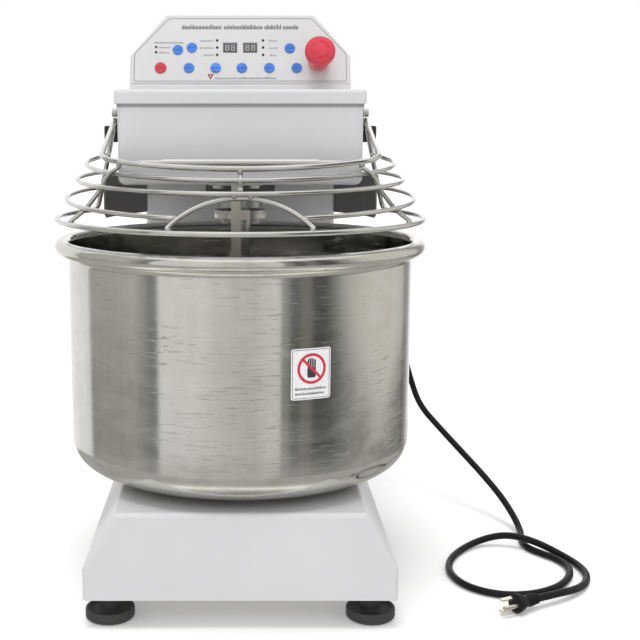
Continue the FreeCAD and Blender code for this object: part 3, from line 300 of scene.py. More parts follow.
class Finish(Graph):
    """A material's node graph, with short calls for what every finish uses."""

    def __init__(self, name, **constants):
        self.material = bpy.data.materials.new(name)
        self.material.use_nodes = True
        self.tree = self.material.node_tree
        self.shader = self.tree.nodes["Principled BSDF"]
        for key, value in constants.items():
            self.shader.inputs[key.replace("_", " ")].default_value = value
        self.object = self.node("ShaderNodeTexCoord").outputs["Object"]

    def stretched(self, scale, source=None):
        made = self.node("ShaderNodeMapping")
        self.join(source or self.object, made.inputs["Vector"])
        made.inputs["Scale"].default_value = scale
        return made.outputs[0]

    def noise(self, scale, detail=3.0, rough=0.5, vector=None, distortion=0.0):
        made = self.node("ShaderNodeTexNoise")
        self.join(vector or self.object, made.inputs["Vector"])
        made.inputs["Scale"].default_value = scale
        made.inputs["Detail"].default_value = detail
        made.inputs["Roughness"].default_value = rough
        made.inputs["Distortion"].default_value = distortion
        return made.outputs["Fac"]

    def ramp(self, value, *stops):
        """A colour or grey ramp from (position, colour or grey) stops."""
        made = self.node("ShaderNodeValToRGB")
        self.join(value, made.inputs[0])
        elements = made.color_ramp.elements
        while len(elements) < len(stops):
            elements.new(0.5)
        for element, (position, colour) in zip(elements, stops):
            element.position = position
            element.color = (*colour, 1) if isinstance(colour, tuple) else (colour, colour, colour, 1)
        return made.outputs[0]

    def spread(self, value, low, high, from_low=0.3, from_high=0.7):
        """Map a noise value onto a range."""
        made = self.node("ShaderNodeMapRange")
        self.join(value, made.inputs["Value"])
        made.inputs["From Min"].default_value = from_low
        made.inputs["From Max"].default_value = from_high
        made.inputs["To Min"].default_value = low
        made.inputs["To Max"].default_value = high
        return made.outputs["Result"]

    def mix(self, share, first, second):
        made = self.node("ShaderNodeMix", data_type="RGBA", blend_type="MIX")
        self.put(made.inputs[0], share)
        for socket, value in ((made.inputs[6], first), (made.inputs[7], second)):
            self.put(socket, (*value, 1) if isinstance(value, tuple) else value)
        return made.outputs[2]

    def bump(self, height, strength, distance, below=None):
        made = self.node("ShaderNodeBump")
        made.inputs["Strength"].default_value = strength
        made.inputs["Distance"].default_value = distance
        self.join(height, made.inputs["Height"])
        if below is not None:
            self.join(below, made.inputs["Normal"])
        return made.outputs[0]

    def edges(self, low=0.52, high=0.58):
        """Where the surface turns outwards sharply, for wear."""
        return self.ramp(self.node("ShaderNodeNewGeometry").outputs["Pointiness"], (low, 0.0), (high, 1.0))

    def finish(self, colour, rough=None, normal=None):
        self.join(colour, self.shader.inputs["Base Color"])
        if rough is not None:
            self.join(rough, self.shader.inputs["Roughness"])
        if normal is not None:
            self.join(normal, self.shader.inputs["Normal"])
        return self.material


def worn_steel(name, colour, rough):
    """Satin steel of the hook and the bar, with dough stains and long scratches."""
    look = Finish(name, Metallic=1.0)
    stains = look.noise(35.0, 5.0, 0.7)
    lines = look.noise(1.0, 4.0, 0.6, look.stretched((700, 700, 25)))
    tone = look.mix(look.spread(stains, 0.0, 1.0), shade(colour, 0.88), shade(colour, 1.06))
    tone = look.mix(look.ramp(lines, (0.56, 0.0), (0.70, 0.35)), tone, shade(colour, 0.80))
    return look.finish(tone, look.spread(stains, rough - 0.06, rough + 0.08), look.bump(lines, 0.05, 0.0001))


def shade(colour, factor):
    """A colour made lighter or darker."""
    return tuple(min(1.0, part * factor) for part in colour)


def paint(name, colour, rough=0.33, peel=0.05):
    """Sprayed powder coat: orange peel, faint patches, rubbed edges."""
    look = Finish(name)
    patches = look.noise(9.0, 4.0, 0.6)
    dust = look.noise(160.0, 5.0, 0.7)
    tone = look.mix(look.spread(patches, 0.0, 1.0), shade(colour, 0.965), shade(colour, 1.02))
    tone = look.mix(look.ramp(dust, (0.70, 0.0), (0.78, 0.35)), tone, shade(colour, 0.72))
    tone = look.mix(look.edges(0.53, 0.62), tone, shade(colour, 1.12))
    orange = look.noise(900.0, 2.0, 0.4)
    gloss = look.spread(patches, rough - 0.05, rough + 0.07)
    return look.finish(tone, gloss, look.bump(orange, peel, 0.0002))


def plastic(name, colour, rough=0.4, grain=1400.0, relief=0.12, shine=0.5):
    """Moulded plastic or rubber with a fine spark-eroded grain and dusty patches."""
    look = Finish(name, Specular_IOR_Level=shine)
    patches = look.noise(26.0, 4.0, 0.6)
    tone = look.mix(look.spread(patches, 0.0, 1.0), shade(colour, 0.84), shade(colour, 1.16))
    tone = look.mix(look.edges(), tone, shade(colour, 1.5))
    fine = look.noise(grain, 3.0, 0.6)
    gloss = look.spread(patches, rough - 0.07, rough + 0.09)
    return look.finish(tone, gloss, look.bump(fine, relief, 0.0002))


def metal(name, colour, rough=0.3, stretch=(1, 1, 1), scale=400.0, relief=0.08):
    """Bare metal: tool marks along one way, stains, brighter edges."""
    look = Finish(name, Metallic=1.0)
    stains = look.noise(18.0, 5.0, 0.65)
    lines = look.noise(scale, 4.0, 0.6, look.stretched(stretch))
    tone = look.mix(look.spread(stains, 0.0, 1.0), shade(colour, 0.86), shade(colour, 1.06))
    tone = look.mix(look.ramp(lines, (0.55, 0.0), (0.75, 0.3)), tone, shade(colour, 0.85))
    tone = look.mix(look.edges(), tone, shade(colour, 1.15))
    return look.finish(tone, look.spread(lines, rough - 0.05, rough + 0.06), look.bump(lines, relief, 0.0001))


def bowl_steel():
    """Spun stainless steel: fine lines round the bowl, shallow dents, dashes and smears, and darker upright
    streaks painted in as reflections.
    """
    look = Finish("bowl_steel", Metallic=1.0, Anisotropic=0.70, Anisotropic_Rotation=0.25)
    apart = look.node("ShaderNodeSeparateXYZ")
    look.join(look.object, apart.inputs[0])
    depth = look.maths("SUBTRACT", BOWL_Y, apart.outputs["Y"])
    turn = look.maths("ARCTAN2", apart.outputs["X"], depth)
    joined = look.node("ShaderNodeCombineXYZ")
    look.join(look.maths("MULTIPLY", turn, BOWL_RADIUS), joined.inputs["X"])
    look.join(apart.outputs["Z"], joined.inputs["Y"])
    radius = look.maths("SQRT", look.maths("ADD", look.maths("MULTIPLY", depth, depth),
                                           look.maths("MULTIPLY", apart.outputs["X"], apart.outputs["X"])))
    look.join(radius, joined.inputs["Z"])
    skin = joined.outputs[0]
    spun = look.noise(1.0, 5.0, 0.65, look.stretched((14, 1500, 1500), skin))
    dashes = look.noise(1.0, 3.0, 0.55, look.stretched((34, 420, 60), skin), 0.6)
    dash_mask = look.noise(1.0, 3.0, 0.6, look.stretched((9, 12, 8), skin))
    scratches = look.noise(1.0, 4.0, 0.6, look.stretched((120, 150, 40), skin), 2.2)
    scratch_mask = look.noise(1.0, 2.0, 0.5, look.stretched((7, 6, 5), skin))
    smears = look.noise(1.0, 5.0, 0.62, look.stretched((11, 30, 20), skin), 1.4)
    # Darker, warmer upright streaks round the bowl: painted reflections of the surroundings.
    painted_reflection_streaks = look.noise(1.0, 4.0, 0.55, look.stretched((60, 7, 40), skin))
    tone = look.mix(look.spread(smears, 0.0, 1.0, 0.35, 0.65), (0.70, 0.690, 0.650), (0.80, 0.792, 0.762))
    tone = look.mix(look.spread(painted_reflection_streaks, 0.0, 0.45, 0.4, 0.75), tone, (0.64, 0.60, 0.54))
    marks = look.maths("MULTIPLY", look.ramp(dashes, (0.60, 0.0), (0.66, 1.0)),
                       look.ramp(dash_mask, (0.46, 0.0), (0.58, 1.0)))
    hair = look.maths("MULTIPLY", look.ramp(scratches, (0.485, 0.0), (0.50, 1.0), (0.515, 0.0)),
                      look.ramp(scratch_mask, (0.52, 0.0), (0.62, 1.0)))
    tone = look.mix(look.maths("MULTIPLY", marks, 0.45), tone, (0.42, 0.40, 0.37))
    tone = look.mix(look.maths("MULTIPLY", hair, 0.40), tone, (0.95, 0.95, 0.93))
    rough = look.maths("ADD", look.spread(smears, 0.09, 0.17, 0.35, 0.65),
                       look.maths("MULTIPLY", marks, 0.15))
    fine = look.bump(spun, 0.04, 0.00006)
    wiped = look.bump(smears, 0.05, 0.0010, fine)
    normal = look.bump(marks, 0.30, 0.00025, wiped)
    tangent = look.node("ShaderNodeTangent", direction_type="RADIAL", axis="Z")
    look.join(tangent.outputs[0], look.shader.inputs["Tangent"])
    return look.finish(tone, rough, normal)


def label_film():
    """Satin polyester film of the control face."""
    look = Finish("label_film")
    cloud = look.noise(30.0, 3.0, 0.5)
    weave = look.noise(2200.0, 2.0, 0.5)
    tone = look.mix(look.spread(cloud, 0.0, 1.0), (0.630, 0.630, 0.637), (0.650, 0.650, 0.657))
    return look.finish(tone, look.spread(cloud, 0.30, 0.40), look.bump(weave, 0.05, 0.0001))


def circuit_board():
    """Green solder mask with tracks."""
    look = Finish("circuit_board", Roughness=0.35)
    tracks = look.node("ShaderNodeTexBrick")
    look.join(look.stretched((300, 300, 300)), tracks.inputs["Vector"])
    track = look.ramp(tracks.outputs["Fac"], (0.4, 0.0), (0.6, 0.6))
    tone = look.mix(track, (0.02, 0.16, 0.07), (0.10, 0.34, 0.16))
    return look.finish(tone, look.spread(look.noise(90.0), 0.3, 0.45))


def ink(name, colour, rough=0.45):
    """Screen-printed ink, slightly uneven."""
    look = Finish(name)
    film = look.noise(700.0, 4.0, 0.7)
    tone = look.mix(look.spread(film, 0.0, 1.0), shade(colour, 0.8), shade(colour, 1.2))
    return look.finish(tone, look.spread(film, rough - 0.05, rough + 0.08), look.bump(film, 0.08, 0.0001))


FINISHES = {
    "white_paint": paint("white_paint", (0.640, 0.641, 0.652)),
    "shield_paint": paint("shield_paint", (0.150, 0.147, 0.143), 0.42, 0.12),
    "stainless": bowl_steel(),
    "wire_steel": metal("wire_steel", (0.76, 0.750, 0.730), 0.15, (1, 1, 1), 90.0, 0.03),
    "dark_steel": metal("dark_steel", (0.20, 0.20, 0.21), 0.38, (1, 1, 5), 300.0, 0.15),
    "zinc_steel": metal("zinc_steel", (0.60, 0.60, 0.59), 0.34, (1, 1, 1), 350.0, 0.12),
    "bearing_steel": metal("bearing_steel", (0.66, 0.66, 0.66), 0.24, (1, 1, 12), 260.0, 0.08),
    "cast_metal": metal("cast_metal", (0.52, 0.52, 0.52), 0.55, (1, 1, 1), 600.0, 0.5),
    "brass": metal("brass", (0.80, 0.75, 0.66), 0.26, (1, 1, 1), 120.0, 0.04),
    "black_plastic": plastic("black_plastic", (0.020, 0.020, 0.021), 0.42),
    "grey_plastic": plastic("grey_plastic", (0.34, 0.34, 0.34), 0.45),
    "red_plastic": plastic("red_plastic", (0.60, 0.040, 0.070), 0.36, 1800.0, 0.05),
    "blue_plastic": plastic("blue_plastic", (0.050, 0.190, 0.620), 0.38, 1800.0, 0.05),
    "rubber": plastic("rubber", (0.045, 0.045, 0.045), 0.60, 700.0, 0.30, 0.35),
    "cord_jacket": plastic("cord_jacket", (0.006, 0.006, 0.007), 0.40, 900.0, 0.10, 0.25),
    "label_face": label_film(),
    "display": plastic("display", (0.052, 0.052, 0.054), 0.35, 2500.0, 0.02),
    "led": plastic("led", (0.020, 0.018, 0.018), 0.25, 2500.0, 0.02),
    "board": circuit_board(),
}
INKS = {
    "dark": ink("dark_ink", (0.045, 0.045, 0.050)),
    "grey": ink("grey_ink", (0.22, 0.22, 0.23)),
    "red": ink("red_ink", (0.62, 0.030, 0.060)),
    "pale": ink("pale_ink", (0.50, 0.50, 0.52)),
    "white": ink("white_film", (0.80, 0.80, 0.81), 0.32),
    "navy": ink("navy_ink", (0.030, 0.085, 0.30)),
    "maroon": ink("maroon_ink", (0.33, 0.018, 0.032)),
}


OWN_FINISHES = {
    "breaker_bar": worn_steel("bar_steel", (0.74, 0.70, 0.63), 0.36),
    "spiral_hook": worn_steel("hook_steel", (0.74, 0.73, 0.70), 0.22),
    # The collar's and sleeve's pinkish tone is a painted reflection of the red mushroom head.
    "estop_collar": plastic("collar_painted_red_reflection", (0.45, 0.17, 0.14), 0.35, 1800.0, 0.05),
    "estop_sleeve": plastic("sleeve_painted_red_reflection", (0.45, 0.17, 0.14), 0.35, 1800.0, 0.05),
}


def dress(piece, material):
    """Give a new piece one material."""
    piece.data.materials.clear()
    piece.data.materials.append(material)
    return piece


SOFTENED = {
    "base_shell": 1.2, "column_shell": 0.9, "rear_cover": 0.7, "head_shell": 0.9, "head_cover": 0.9,
    "panel_housing": 0.9, "guard_stops": 0.8, "side_shields": 0.5, "breaker_bar": 0.8, "under_plate": 0.6,
    "guard_hinge_plates": 0.4, "spindle_housing": 0.5, "motor_housing": 0.5,
}


def dress_cad_nodes():
    """Give every part from the frame its finish, and round the sharp edges of the housings a little."""
    for entry in frame["record"]["subparts"]:
        part = nodes[entry["node"]]
        part.data.materials.clear()
        part.data.materials.append(OWN_FINISHES.get(entry["node"], FINISHES[entry["material_slot"]]))
        width = SOFTENED.get(entry["node"])
        if width is None:
            continue
        weld = part.modifiers.new("weld", "WELD")
        weld.merge_threshold = 0.02 * MM
        bevel = part.modifiers.new("edges", "BEVEL")
        bevel.width = width * MM
        bevel.segments = 2
        bevel.limit_method = "ANGLE"
        bevel.angle_limit = math.radians(28)
        bevel.harden_normals = True
        part.modifiers.new("shading", "WEIGHTED_NORMAL").keep_sharp = True


dress_cad_nodes()
dress(lead, FINISHES["cord_jacket"])


# ---------------------------------------------------------------- stage

def floor():
    """A wide pale floor, which reflections don't see."""
    bm = bmesh.new()
    bmesh.ops.create_grid(bm, x_segments=4, y_segments=4, size=40.0)
    mesh = bpy.data.meshes.new("floor")
    bm.to_mesh(mesh)
    bm.free()
    look = Finish("floor_paint", Roughness=0.9, Specular_IOR_Level=0.1, Emission_Strength=0.16)
    look.finish(look.mix(look.noise(3.0), (0.82, 0.82, 0.82), (0.84, 0.84, 0.84)))
    ground = bpy.data.objects.new("floor", mesh)
    ground.location.z = -0.2 * MM
    bpy.context.scene.collection.objects.link(ground)
    mesh.materials.append(look.material)
    ground.visible_glossy = False


# What reflections see round the horizon: azimuth from the front, brightness and warmth.
SCREENS = [
    (-180, 0.98, 0), (-128, 0.86, 0), (-119, 0.80, 0), (-116, 0.42, 0.8), (-104, 0.44, 1), (-96, 0.45, 1),
    (-84, 0.46, 1), (-72, 0.49, 1), (-68, 0.40, 0.8), (-62.5, 0.33, 0.6), (-61.5, 0.23, 0), (-55.5, 0.25, 0),
    (-54, 0.77, 0.4), (-26, 0.74, 0.5), (-14, 0.66, 0.8), (-4, 0.59, 0.8), (8, 0.58, 0.8), (20, 0.68, 0.7),
    (25.5, 0.70, 0.6), (26.5, 0.32, 0.5), (31, 0.28, 0.3), (33, 0.14, 0.3), (38, 0.14, 0.5), (40, 0.21, 1.4),
    (46, 0.20, 1.4), (48.5, 0.10, 0), (56, 0.10, 0), (70, 0.46, 0.5),
]
SCREENS_RIGHT = [
    (70, 0.46, 0.5), (78, 0.58, 1), (90, 0.66, 1), (122, 0.66, 1), (134, 0.58, 0.8), (141, 0.30, 0.3),
    (150, 0.40, 0), (157, 0.95, 0), (180, 1.15, 0),
]
# How much of that is left low down, by azimuth, as if a dark floor showed there.
LOW_SHARE = [
    (-180, 1.0), (-118, 1.0), (-115, 0.74), (-64, 0.74), (-60, 0.95), (24, 0.97), (30, 0.92), (56, 0.85),
    (60, 0.42), (138, 0.40), (146, 0.9), (180, 1.0),
]
# What reflections see below: sine of the elevation and brightness.
UNDER = [
    (-1.0, 0.30), (-0.93, 0.50), (-0.87, 1.05), (-0.83, 0.95), (-0.78, 0.55), (-0.66, 0.42), (-0.30, 0.44),
]


# The soft light's brightness at the horizon, how much more it has overhead, and what reflections see overhead.
SOFT_LOW = 0.08
SOFT_RISE = 1.10
OVERHEAD = (1.05, 1.05, 1.03, 1)
# Each distant light: name, strength, spread and tilt from overhead towards the front, in degrees.
SUNS = (("sun", 1.15, 20, 7), ("fill", 0.70, 60, 60))


class Sky(Graph):
    """The world's node graph."""

    def __init__(self, name):
        world = bpy.data.worlds.new(name)
        bpy.context.scene.world = world
        world.use_nodes = True
        self.tree = world.node_tree
        self.tree.nodes.clear()

    def mix(self, share, first, second, blend="MIX"):
        made = self.node("ShaderNodeMix", data_type="RGBA", blend_type=blend)
        for socket, value in ((made.inputs[0], share), (made.inputs[6], first), (made.inputs[7], second)):
            self.put(socket, value)
        return made.outputs[2]

    def step(self, value, low, high):
        """0 below low and 1 above high, smoothly."""
        made = self.node("ShaderNodeMapRange", interpolation_type="SMOOTHSTEP")
        self.put(made.inputs["Value"], value)
        made.inputs["From Min"].default_value = low
        made.inputs["From Max"].default_value = high
        return made.outputs["Result"]

    def ramp(self, value, stops):
        """A ramp from (position, brightness, warmth) stops."""
        made = self.node("ShaderNodeValToRGB")
        self.put(made.inputs[0], value)
        elements = made.color_ramp.elements
        while len(elements) < len(stops):
            elements.new(0.5)
        for element, (place, level, *warm) in zip(elements, stops):
            warmth = warm[0] if warm else 0
            element.position = place
            element.color = (level * (1 + 0.02 * warmth), level, level * (1 - 0.07 * warmth), 1)
        return made.outputs[0]


def studio():
    """Soft light from above, and tall pale and dark screens that only reflections see."""
    sky = Sky("studio")
    apart = sky.node("ShaderNodeSeparateXYZ")
    sky.put(apart.inputs[0], sky.node("ShaderNodeTexCoord").outputs["Generated"])
    x, y, up = (apart.outputs[axis] for axis in "XYZ")
    share = sky.maths("ADD", sky.maths("DIVIDE", sky.maths("ARCTAN2", x, sky.maths("MULTIPLY", y, -1.0)),
                                       2 * math.pi), 0.5)
    front, right = ([(degrees / 360 + 0.5, *rest) for degrees, *rest in stops]
                    for stops in (SCREENS, SCREENS_RIGHT))
    screens = sky.mix(sky.step(share, front[-1][0] - 1e-4, front[-1][0] + 1e-4),
                      sky.ramp(share, front), sky.ramp(share, right))
    low_share = sky.ramp(share, [(degrees / 360 + 0.5, level) for degrees, level in LOW_SHARE])
    off_middle = sky.maths("ABSOLUTE", sky.maths("SUBTRACT", share, 105 / 360 + 0.5))
    edge = sky.maths("SUBTRACT", sky.maths("MULTIPLY", sky.maths("MINIMUM", off_middle, 0.11), 0.75), 0.253)
    low = sky.step(sky.maths("SUBTRACT", edge, up), -0.012, 0.030)
    screens = sky.mix(low, screens, sky.mix(1.0, screens, low_share, "MULTIPLY"))
    below = sky.ramp(sky.maths("MULTIPLY", sky.maths("ADD", up, 1.0), 0.5),
                     [((height + 1) / 2, level, 0.8) for height, level in UNDER])
    screens = sky.mix(sky.step(up, -0.335, -0.315), below, screens)
    screens = sky.mix(sky.step(up, 0.62, 0.90), screens, OVERHEAD)
    path = sky.node("ShaderNodeLightPath")
    height = sky.maths("MAXIMUM", up, 0.0)
    level = sky.maths("ADD", sky.maths("MULTIPLY", height, SOFT_RISE), SOFT_LOW)
    soft = sky.mix(path.outputs["Is Glossy Ray"], level, screens)
    seen = sky.mix(path.outputs["Is Camera Ray"], soft, (1.0, 1.0, 1.0, 1))
    background = sky.node("ShaderNodeBackground")
    sky.put(background.inputs["Color"], seen)
    sky.put(sky.node("ShaderNodeOutputWorld").inputs["Surface"], background.outputs[0])


def suns():
    """A high wide sun and a wider low fill from the front, which reflections don't see."""
    for name, energy, spread, tilt in SUNS:
        data = bpy.data.lights.new(name, "SUN")
        data.energy = energy
        data.angle = math.radians(spread)
        light = bpy.data.objects.new(name, data)
        light.rotation_euler = (math.radians(tilt), math.radians(-4), 0)
        light.visible_glossy = False
        bpy.context.scene.collection.objects.link(light)


floor()
studio()
suns()
bpy.context.scene.view_settings.view_transform = "Standard"


# ---------------------------------------------------------------- bowl

def bowl():
    """The bowl's wall with its rolled rim, turned as one skin."""
    bottom = BOWL_BOTTOM / MM
    radius, wall, fillet, tube = (size / MM for size in (BOWL_RADIUS, BOWL_WALL, BOWL_FILLET, RIM_TUBE))
    rim = (RIM_OUTSIDE / MM - tube, RIM_TOP / MM - tube)
    inside = radius - wall
    outer_corner = (radius - fillet, bottom + fillet)
    inner_fillet = fillet - wall
    inner_corner = (inside - inner_fillet, bottom + 2 + inner_fillet)
    profile = [(0, bottom), (60, bottom), (120, bottom), (150, bottom), (radius - fillet - 3, bottom)]
    profile += arc(outer_corner, fillet, -90, 0, 18)
    profile += [(radius, z) for z in (200, 250, 300, 350, 380)]
    profile += [(radius, rim[1] - tube + 0.6)]
    profile += arc(rim, tube, -140 + 25, 180, 44)
    profile += [(inside, z) for z in (385, 350, 300, 250, 200)]
    profile += arc(inner_corner, inner_fillet, 0, -90, 16)
    profile += [(140, bottom + 2), (80, bottom + 2), (30, bottom + 2.6), (0, bottom + 3.0)]
    bm = turned(profile, 288)
    for vert in bm.verts:
        vert.co.y += BOWL_Y
    piece = add_object("bowl_skin", mesh_from("bowl_skin", bm), "bowl", ("bowl",))
    dress(piece, FINISHES["stainless"])


bowl()


def feet():
    """The rubber feet, turned finely, with softened rims."""
    profile = [(5.2, 4), (16.6, 4), (17.2, 3.4), (17.8, 0.6), (18.6, 0), (23.4, 0), (24.6, 0.3), (26.6, 2.2),
               (27, 3.3), (27, 10.2), (26.8, 11.4), (26.0, 12.3), (25.2, 12.5), (24.4, 12.4), (23.6, 11.9),
               (21.8, 10.0), (20.6, 9.5), (13.4, 9.5), (12.2, 9.8), (11.2, 10.8), (11, 12), (11, 32.4),
               (10.5, 33), (5.2, 33)]
    bm = bmesh.new()
    for x, y in FOOT_PLACES:
        foot = turned(profile + profile[:1], 72)
        bmesh.ops.remove_doubles(foot, verts=foot.verts, dist=1e-7)
        for vert in foot.verts:
            vert.co += at(x, y, 0)
        one = mesh_from("foot", foot)
        bm.from_mesh(one)
        bpy.data.meshes.remove(one)
    piece = add_object("rubber_feet", mesh_from("rubber_feet", bm), "frame", ("feet",))
    dress(piece, FINISHES["rubber"])


feet()


# ---------------------------------------------------------------- prints

def printed(name, outlines, heights, place, material, body, slice_width=0.0):
    """A thin print or film as a piece of its own."""
    mesh = mesh_from(name, drawing(outlines, *heights, place, slice_width))
    return dress(add_object(name, mesh, body, smooth=False), material)


def upright_marks(x, end, y, height, pitch):
    """A row of small upright marks that stands for a line of text."""
    marks = []
    while x < end:
        tall = height * random.choice((0.68, 0.68, 0.74, 1.0))
        marks.append(bar(x, y - (height - tall) / 2, pitch * 0.62, tall))
        x += pitch * random.choice((1.0, 1.0, 1.0, 1.12))
    return marks


def digit(x, y, width, height, stroke):
    """All seven segments of a digit centred at x, y."""
    half = height / 2
    segments = [bar(x - width / 2 + stroke, y + level * (half - stroke / 2), width - 2 * stroke, stroke)
                for level in (-1, 0, 1)]
    for side in (-1, 1):
        for level in (-1, 1):
            left = x + side * (width - stroke) / 2 - stroke / 2
            segments.append(bar(left, y + level * (half / 2), stroke, half - stroke))
    return segments


LABEL_OUTLINE = [(-124.3, 6.7), (124.3, 6.7), (124.3, 41.8), (84.2, 87.1), (-84.2, 87.1), (-124.3, 41.8)]
TITLE_WORDS = [(-68.7, -21.5), (-19.3, 26.2), (28.5, 48.3), (50.6, 68.7)]
LEGENDS = [
    (-101.4, -67.5, 55.9), (-95.6, -81.5, 49.9), (-95.6, -83.5, 43.3), (-47.4, -31.9, 58.4),
    (-47.4, -31.9, 49.2), (-42.3, -31.9, 39.9), (33.8, 42.3, 58.3), (33.8, 44.5, 49.2), (34.7, 41.1, 39.9),
]
KEY_PLACES = {
    "key_red": (-93.3, 23.7), "key_blue_1": (-60.1, 23.7), "key_blue_2": (-28.8, 23.7),
    "key_blue_3": (1.8, 23.7), "key_blue_4": (34.0, 23.7), "key_blue_5": (66.0, 23.7),
    "key_blue_6": (-73.3, 46.6), "key_blue_7": (-56.9, 49.4), "key_blue_8": (58.1, 48.6),
}
KEY_TOP = 2.0
DISPLAYS = (-12.0, 11.6)
DISPLAY_FACE = 0.6


def softened_corners(outline, reach):
    """An outline with each corner cut by a short chord."""
    cut = []
    for index, corner in enumerate(outline):
        here = Vector(corner)
        for near in (Vector(outline[index - 1]), Vector(outline[(index + 1) % len(outline)])):
            cut.append(tuple(here + (near - here).normalized() * reach))
    return cut


def panel_prints():
    """Border, title, legends and triangle on the panel's face, and the displays' digits."""
    film = (LABEL_FACE - 0.04, LABEL_FACE + 0.09)
    printed("label_border", band(softened_corners(LABEL_OUTLINE, 2.2), 0.75), film, on_panel,
            INKS["grey"], "frame")
    title = [mark for start, end in TITLE_WORDS for mark in upright_marks(start, end - 1, 75.8, 5.8, 1.62)]
    printed("label_title", title, film, on_panel, INKS["dark"], "frame")
    legends = [mark for start, end, y in LEGENDS for mark in upright_marks(start, end, y, 2.4, 1.5)]
    legends += upright_marks(-29.0, 42.0, 10.9, 2.9, 1.7)
    printed("label_legends", legends, film, on_panel, INKS["grey"], "frame")
    printed("label_triangle", [[(-38.4, 15.9), (-34.7, 8.8), (-31.0, 15.9)]], film, on_panel,
            INKS["maroon"], "frame")
    printed("label_triangle_mark", [bar(-35.2, 13.6, 1.0, 2.6)], (LABEL_FACE, LABEL_FACE + 0.14), on_panel,
            INKS["white"], "frame")
    digits = [segment for x in DISPLAYS for offset in (-3.3, 3.5)
              for segment in digit(x + offset, 49.5, 4.6, 7.4, 0.85)]
    printed("display_digits", digits, (DISPLAY_FACE - 0.02, DISPLAY_FACE + 0.06), on_panel,
            INKS["pale"], "frame")


def key_prints():
    """A short printed bar on each key, which travels with it."""
    for body, (x, y) in KEY_PLACES.items():
        red = body == "key_red"
        marks = upright_marks(x - 4.2, x + 3.6, y, 2.2, 1.5)
        printed(body + "_print", marks, (KEY_TOP - 0.03, KEY_TOP + 0.05), on_panel,
                INKS["maroon" if red else "navy"], body)


def estop_marks():
    """Three moulded turning arrows on the mushroom's face."""
    arrows = []
    for first in (15, 135, 255):
        inner = arc(ESTOP, 9.0, first, first + 62, 10)
        outer = arc(ESTOP, 10.4, first, first + 62, 10)
        arrows += [[inner[i], outer[i], outer[i + 1], inner[i + 1]] for i in range(10)]
        tip, low, high = (arc(ESTOP, radius, first + turn, first + turn, 1)[0]
                          for radius, turn in ((9.7, 80), (7.6, 62), (11.8, 62)))
        arrows.append([low, high, tip])
    printed("estop_arrows", arrows, (34.6, 35.95), on_panel, INKS["red"], "estop_button")


STICKER_TURN = math.radians(21.5)
STICKER_Z = 280


def on_bowl(x, y, out):
    """A place on the bowl's wall: mm round it from the sticker's middle, up it, and off it."""
    radius = BOWL_RADIUS / MM
    turn = STICKER_TURN + x / radius
    return at((radius + out) * math.sin(turn), -(radius + out) * math.cos(turn), STICKER_Z + y)


def sticker():
    """A plain generic sticker: a struck-out ring over a block, and two bars."""
    card = rounded_box(0, 0, 45, 54, 3.0)
    ring_middle, strip = (0.5, 5.5), 1.5
    printed("sticker_card", [card], (-0.1, 0.22), on_bowl, INKS["white"], "bowl", strip)
    printed("sticker_edge", band(rounded_box(0, 0, 42.6, 51.6, 2.4), 0.7), (0.15, 0.30), on_bowl,
            INKS["grey"], "bowl", strip)
    printed("sticker_ring", band(disc(*ring_middle, 16.2, 64), 3.0), (0.15, 0.36), on_bowl,
            INKS["red"], "bowl", strip)
    slope = Matrix.Rotation(math.radians(-45), 2)
    slash = [slope @ Vector(corner) for corner in bar(-14.2, 0, 28.4, 2.8)]
    printed("sticker_slash", [[tuple(corner + Vector(ring_middle)) for corner in slash]], (0.2, 0.44),
            on_bowl, INKS["red"], "bowl", strip)
    x, y = ring_middle
    block = [rounded_box(x - 0.3, y - 4.2, 9.6, 10.5, 1.8)]
    for step, rise in enumerate((1, 2, 1.6, 0.4)):
        block.append(rounded_box(x - 3.9 + 2.5 * step, y + 4.1 + rise, 1.9, 10.5, 0.9))
    printed("sticker_block", block[:1], (0.15, 0.30), on_bowl, INKS["dark"], "bowl", strip)
    printed("sticker_bars_up", block[1:], (0.15, 0.32), on_bowl, INKS["dark"], "bowl", strip)
    lines = upright_marks(-18, 17, -15.4, 2.7, 1.25) + upright_marks(-18, 14, -20.6, 2.7, 1.25)
    printed("sticker_lines", lines, (0.15, 0.30), on_bowl, INKS["dark"], "bowl", strip)


panel_prints()
key_prints()
estop_marks()
sticker()


# ---------------------------------------------------------------- guard welds

WELD_RADIUS = 3.3 * MM
WELD_APART = 22 * MM


def touching(first, second, reach):
    """Where two CAD parts' surfaces come within reach, one point for each place."""
    tree = BVHTree.FromPolygons([vert.co for vert in second.data.vertices],
                                [tuple(face.vertices) for face in second.data.polygons])
    places = []
    for edge in first.data.edges:
        start, end = (first.data.vertices[index].co for index in edge.vertices)
        steps = max(1, round((end - start).length / MM))
        for step in range(steps):
            point = start.lerp(end, step / steps)
            near = tree.find_nearest(point, reach)[0]
            if near is None:
                continue
            middle = (point + near) / 2
            for place in places:
                if (place[0] - middle).length < WELD_APART:
                    place[1].append(middle)
                    break
            else:
                places.append((middle, [middle]))
    return [sum(points, Vector()) / len(points) for _, points in places]


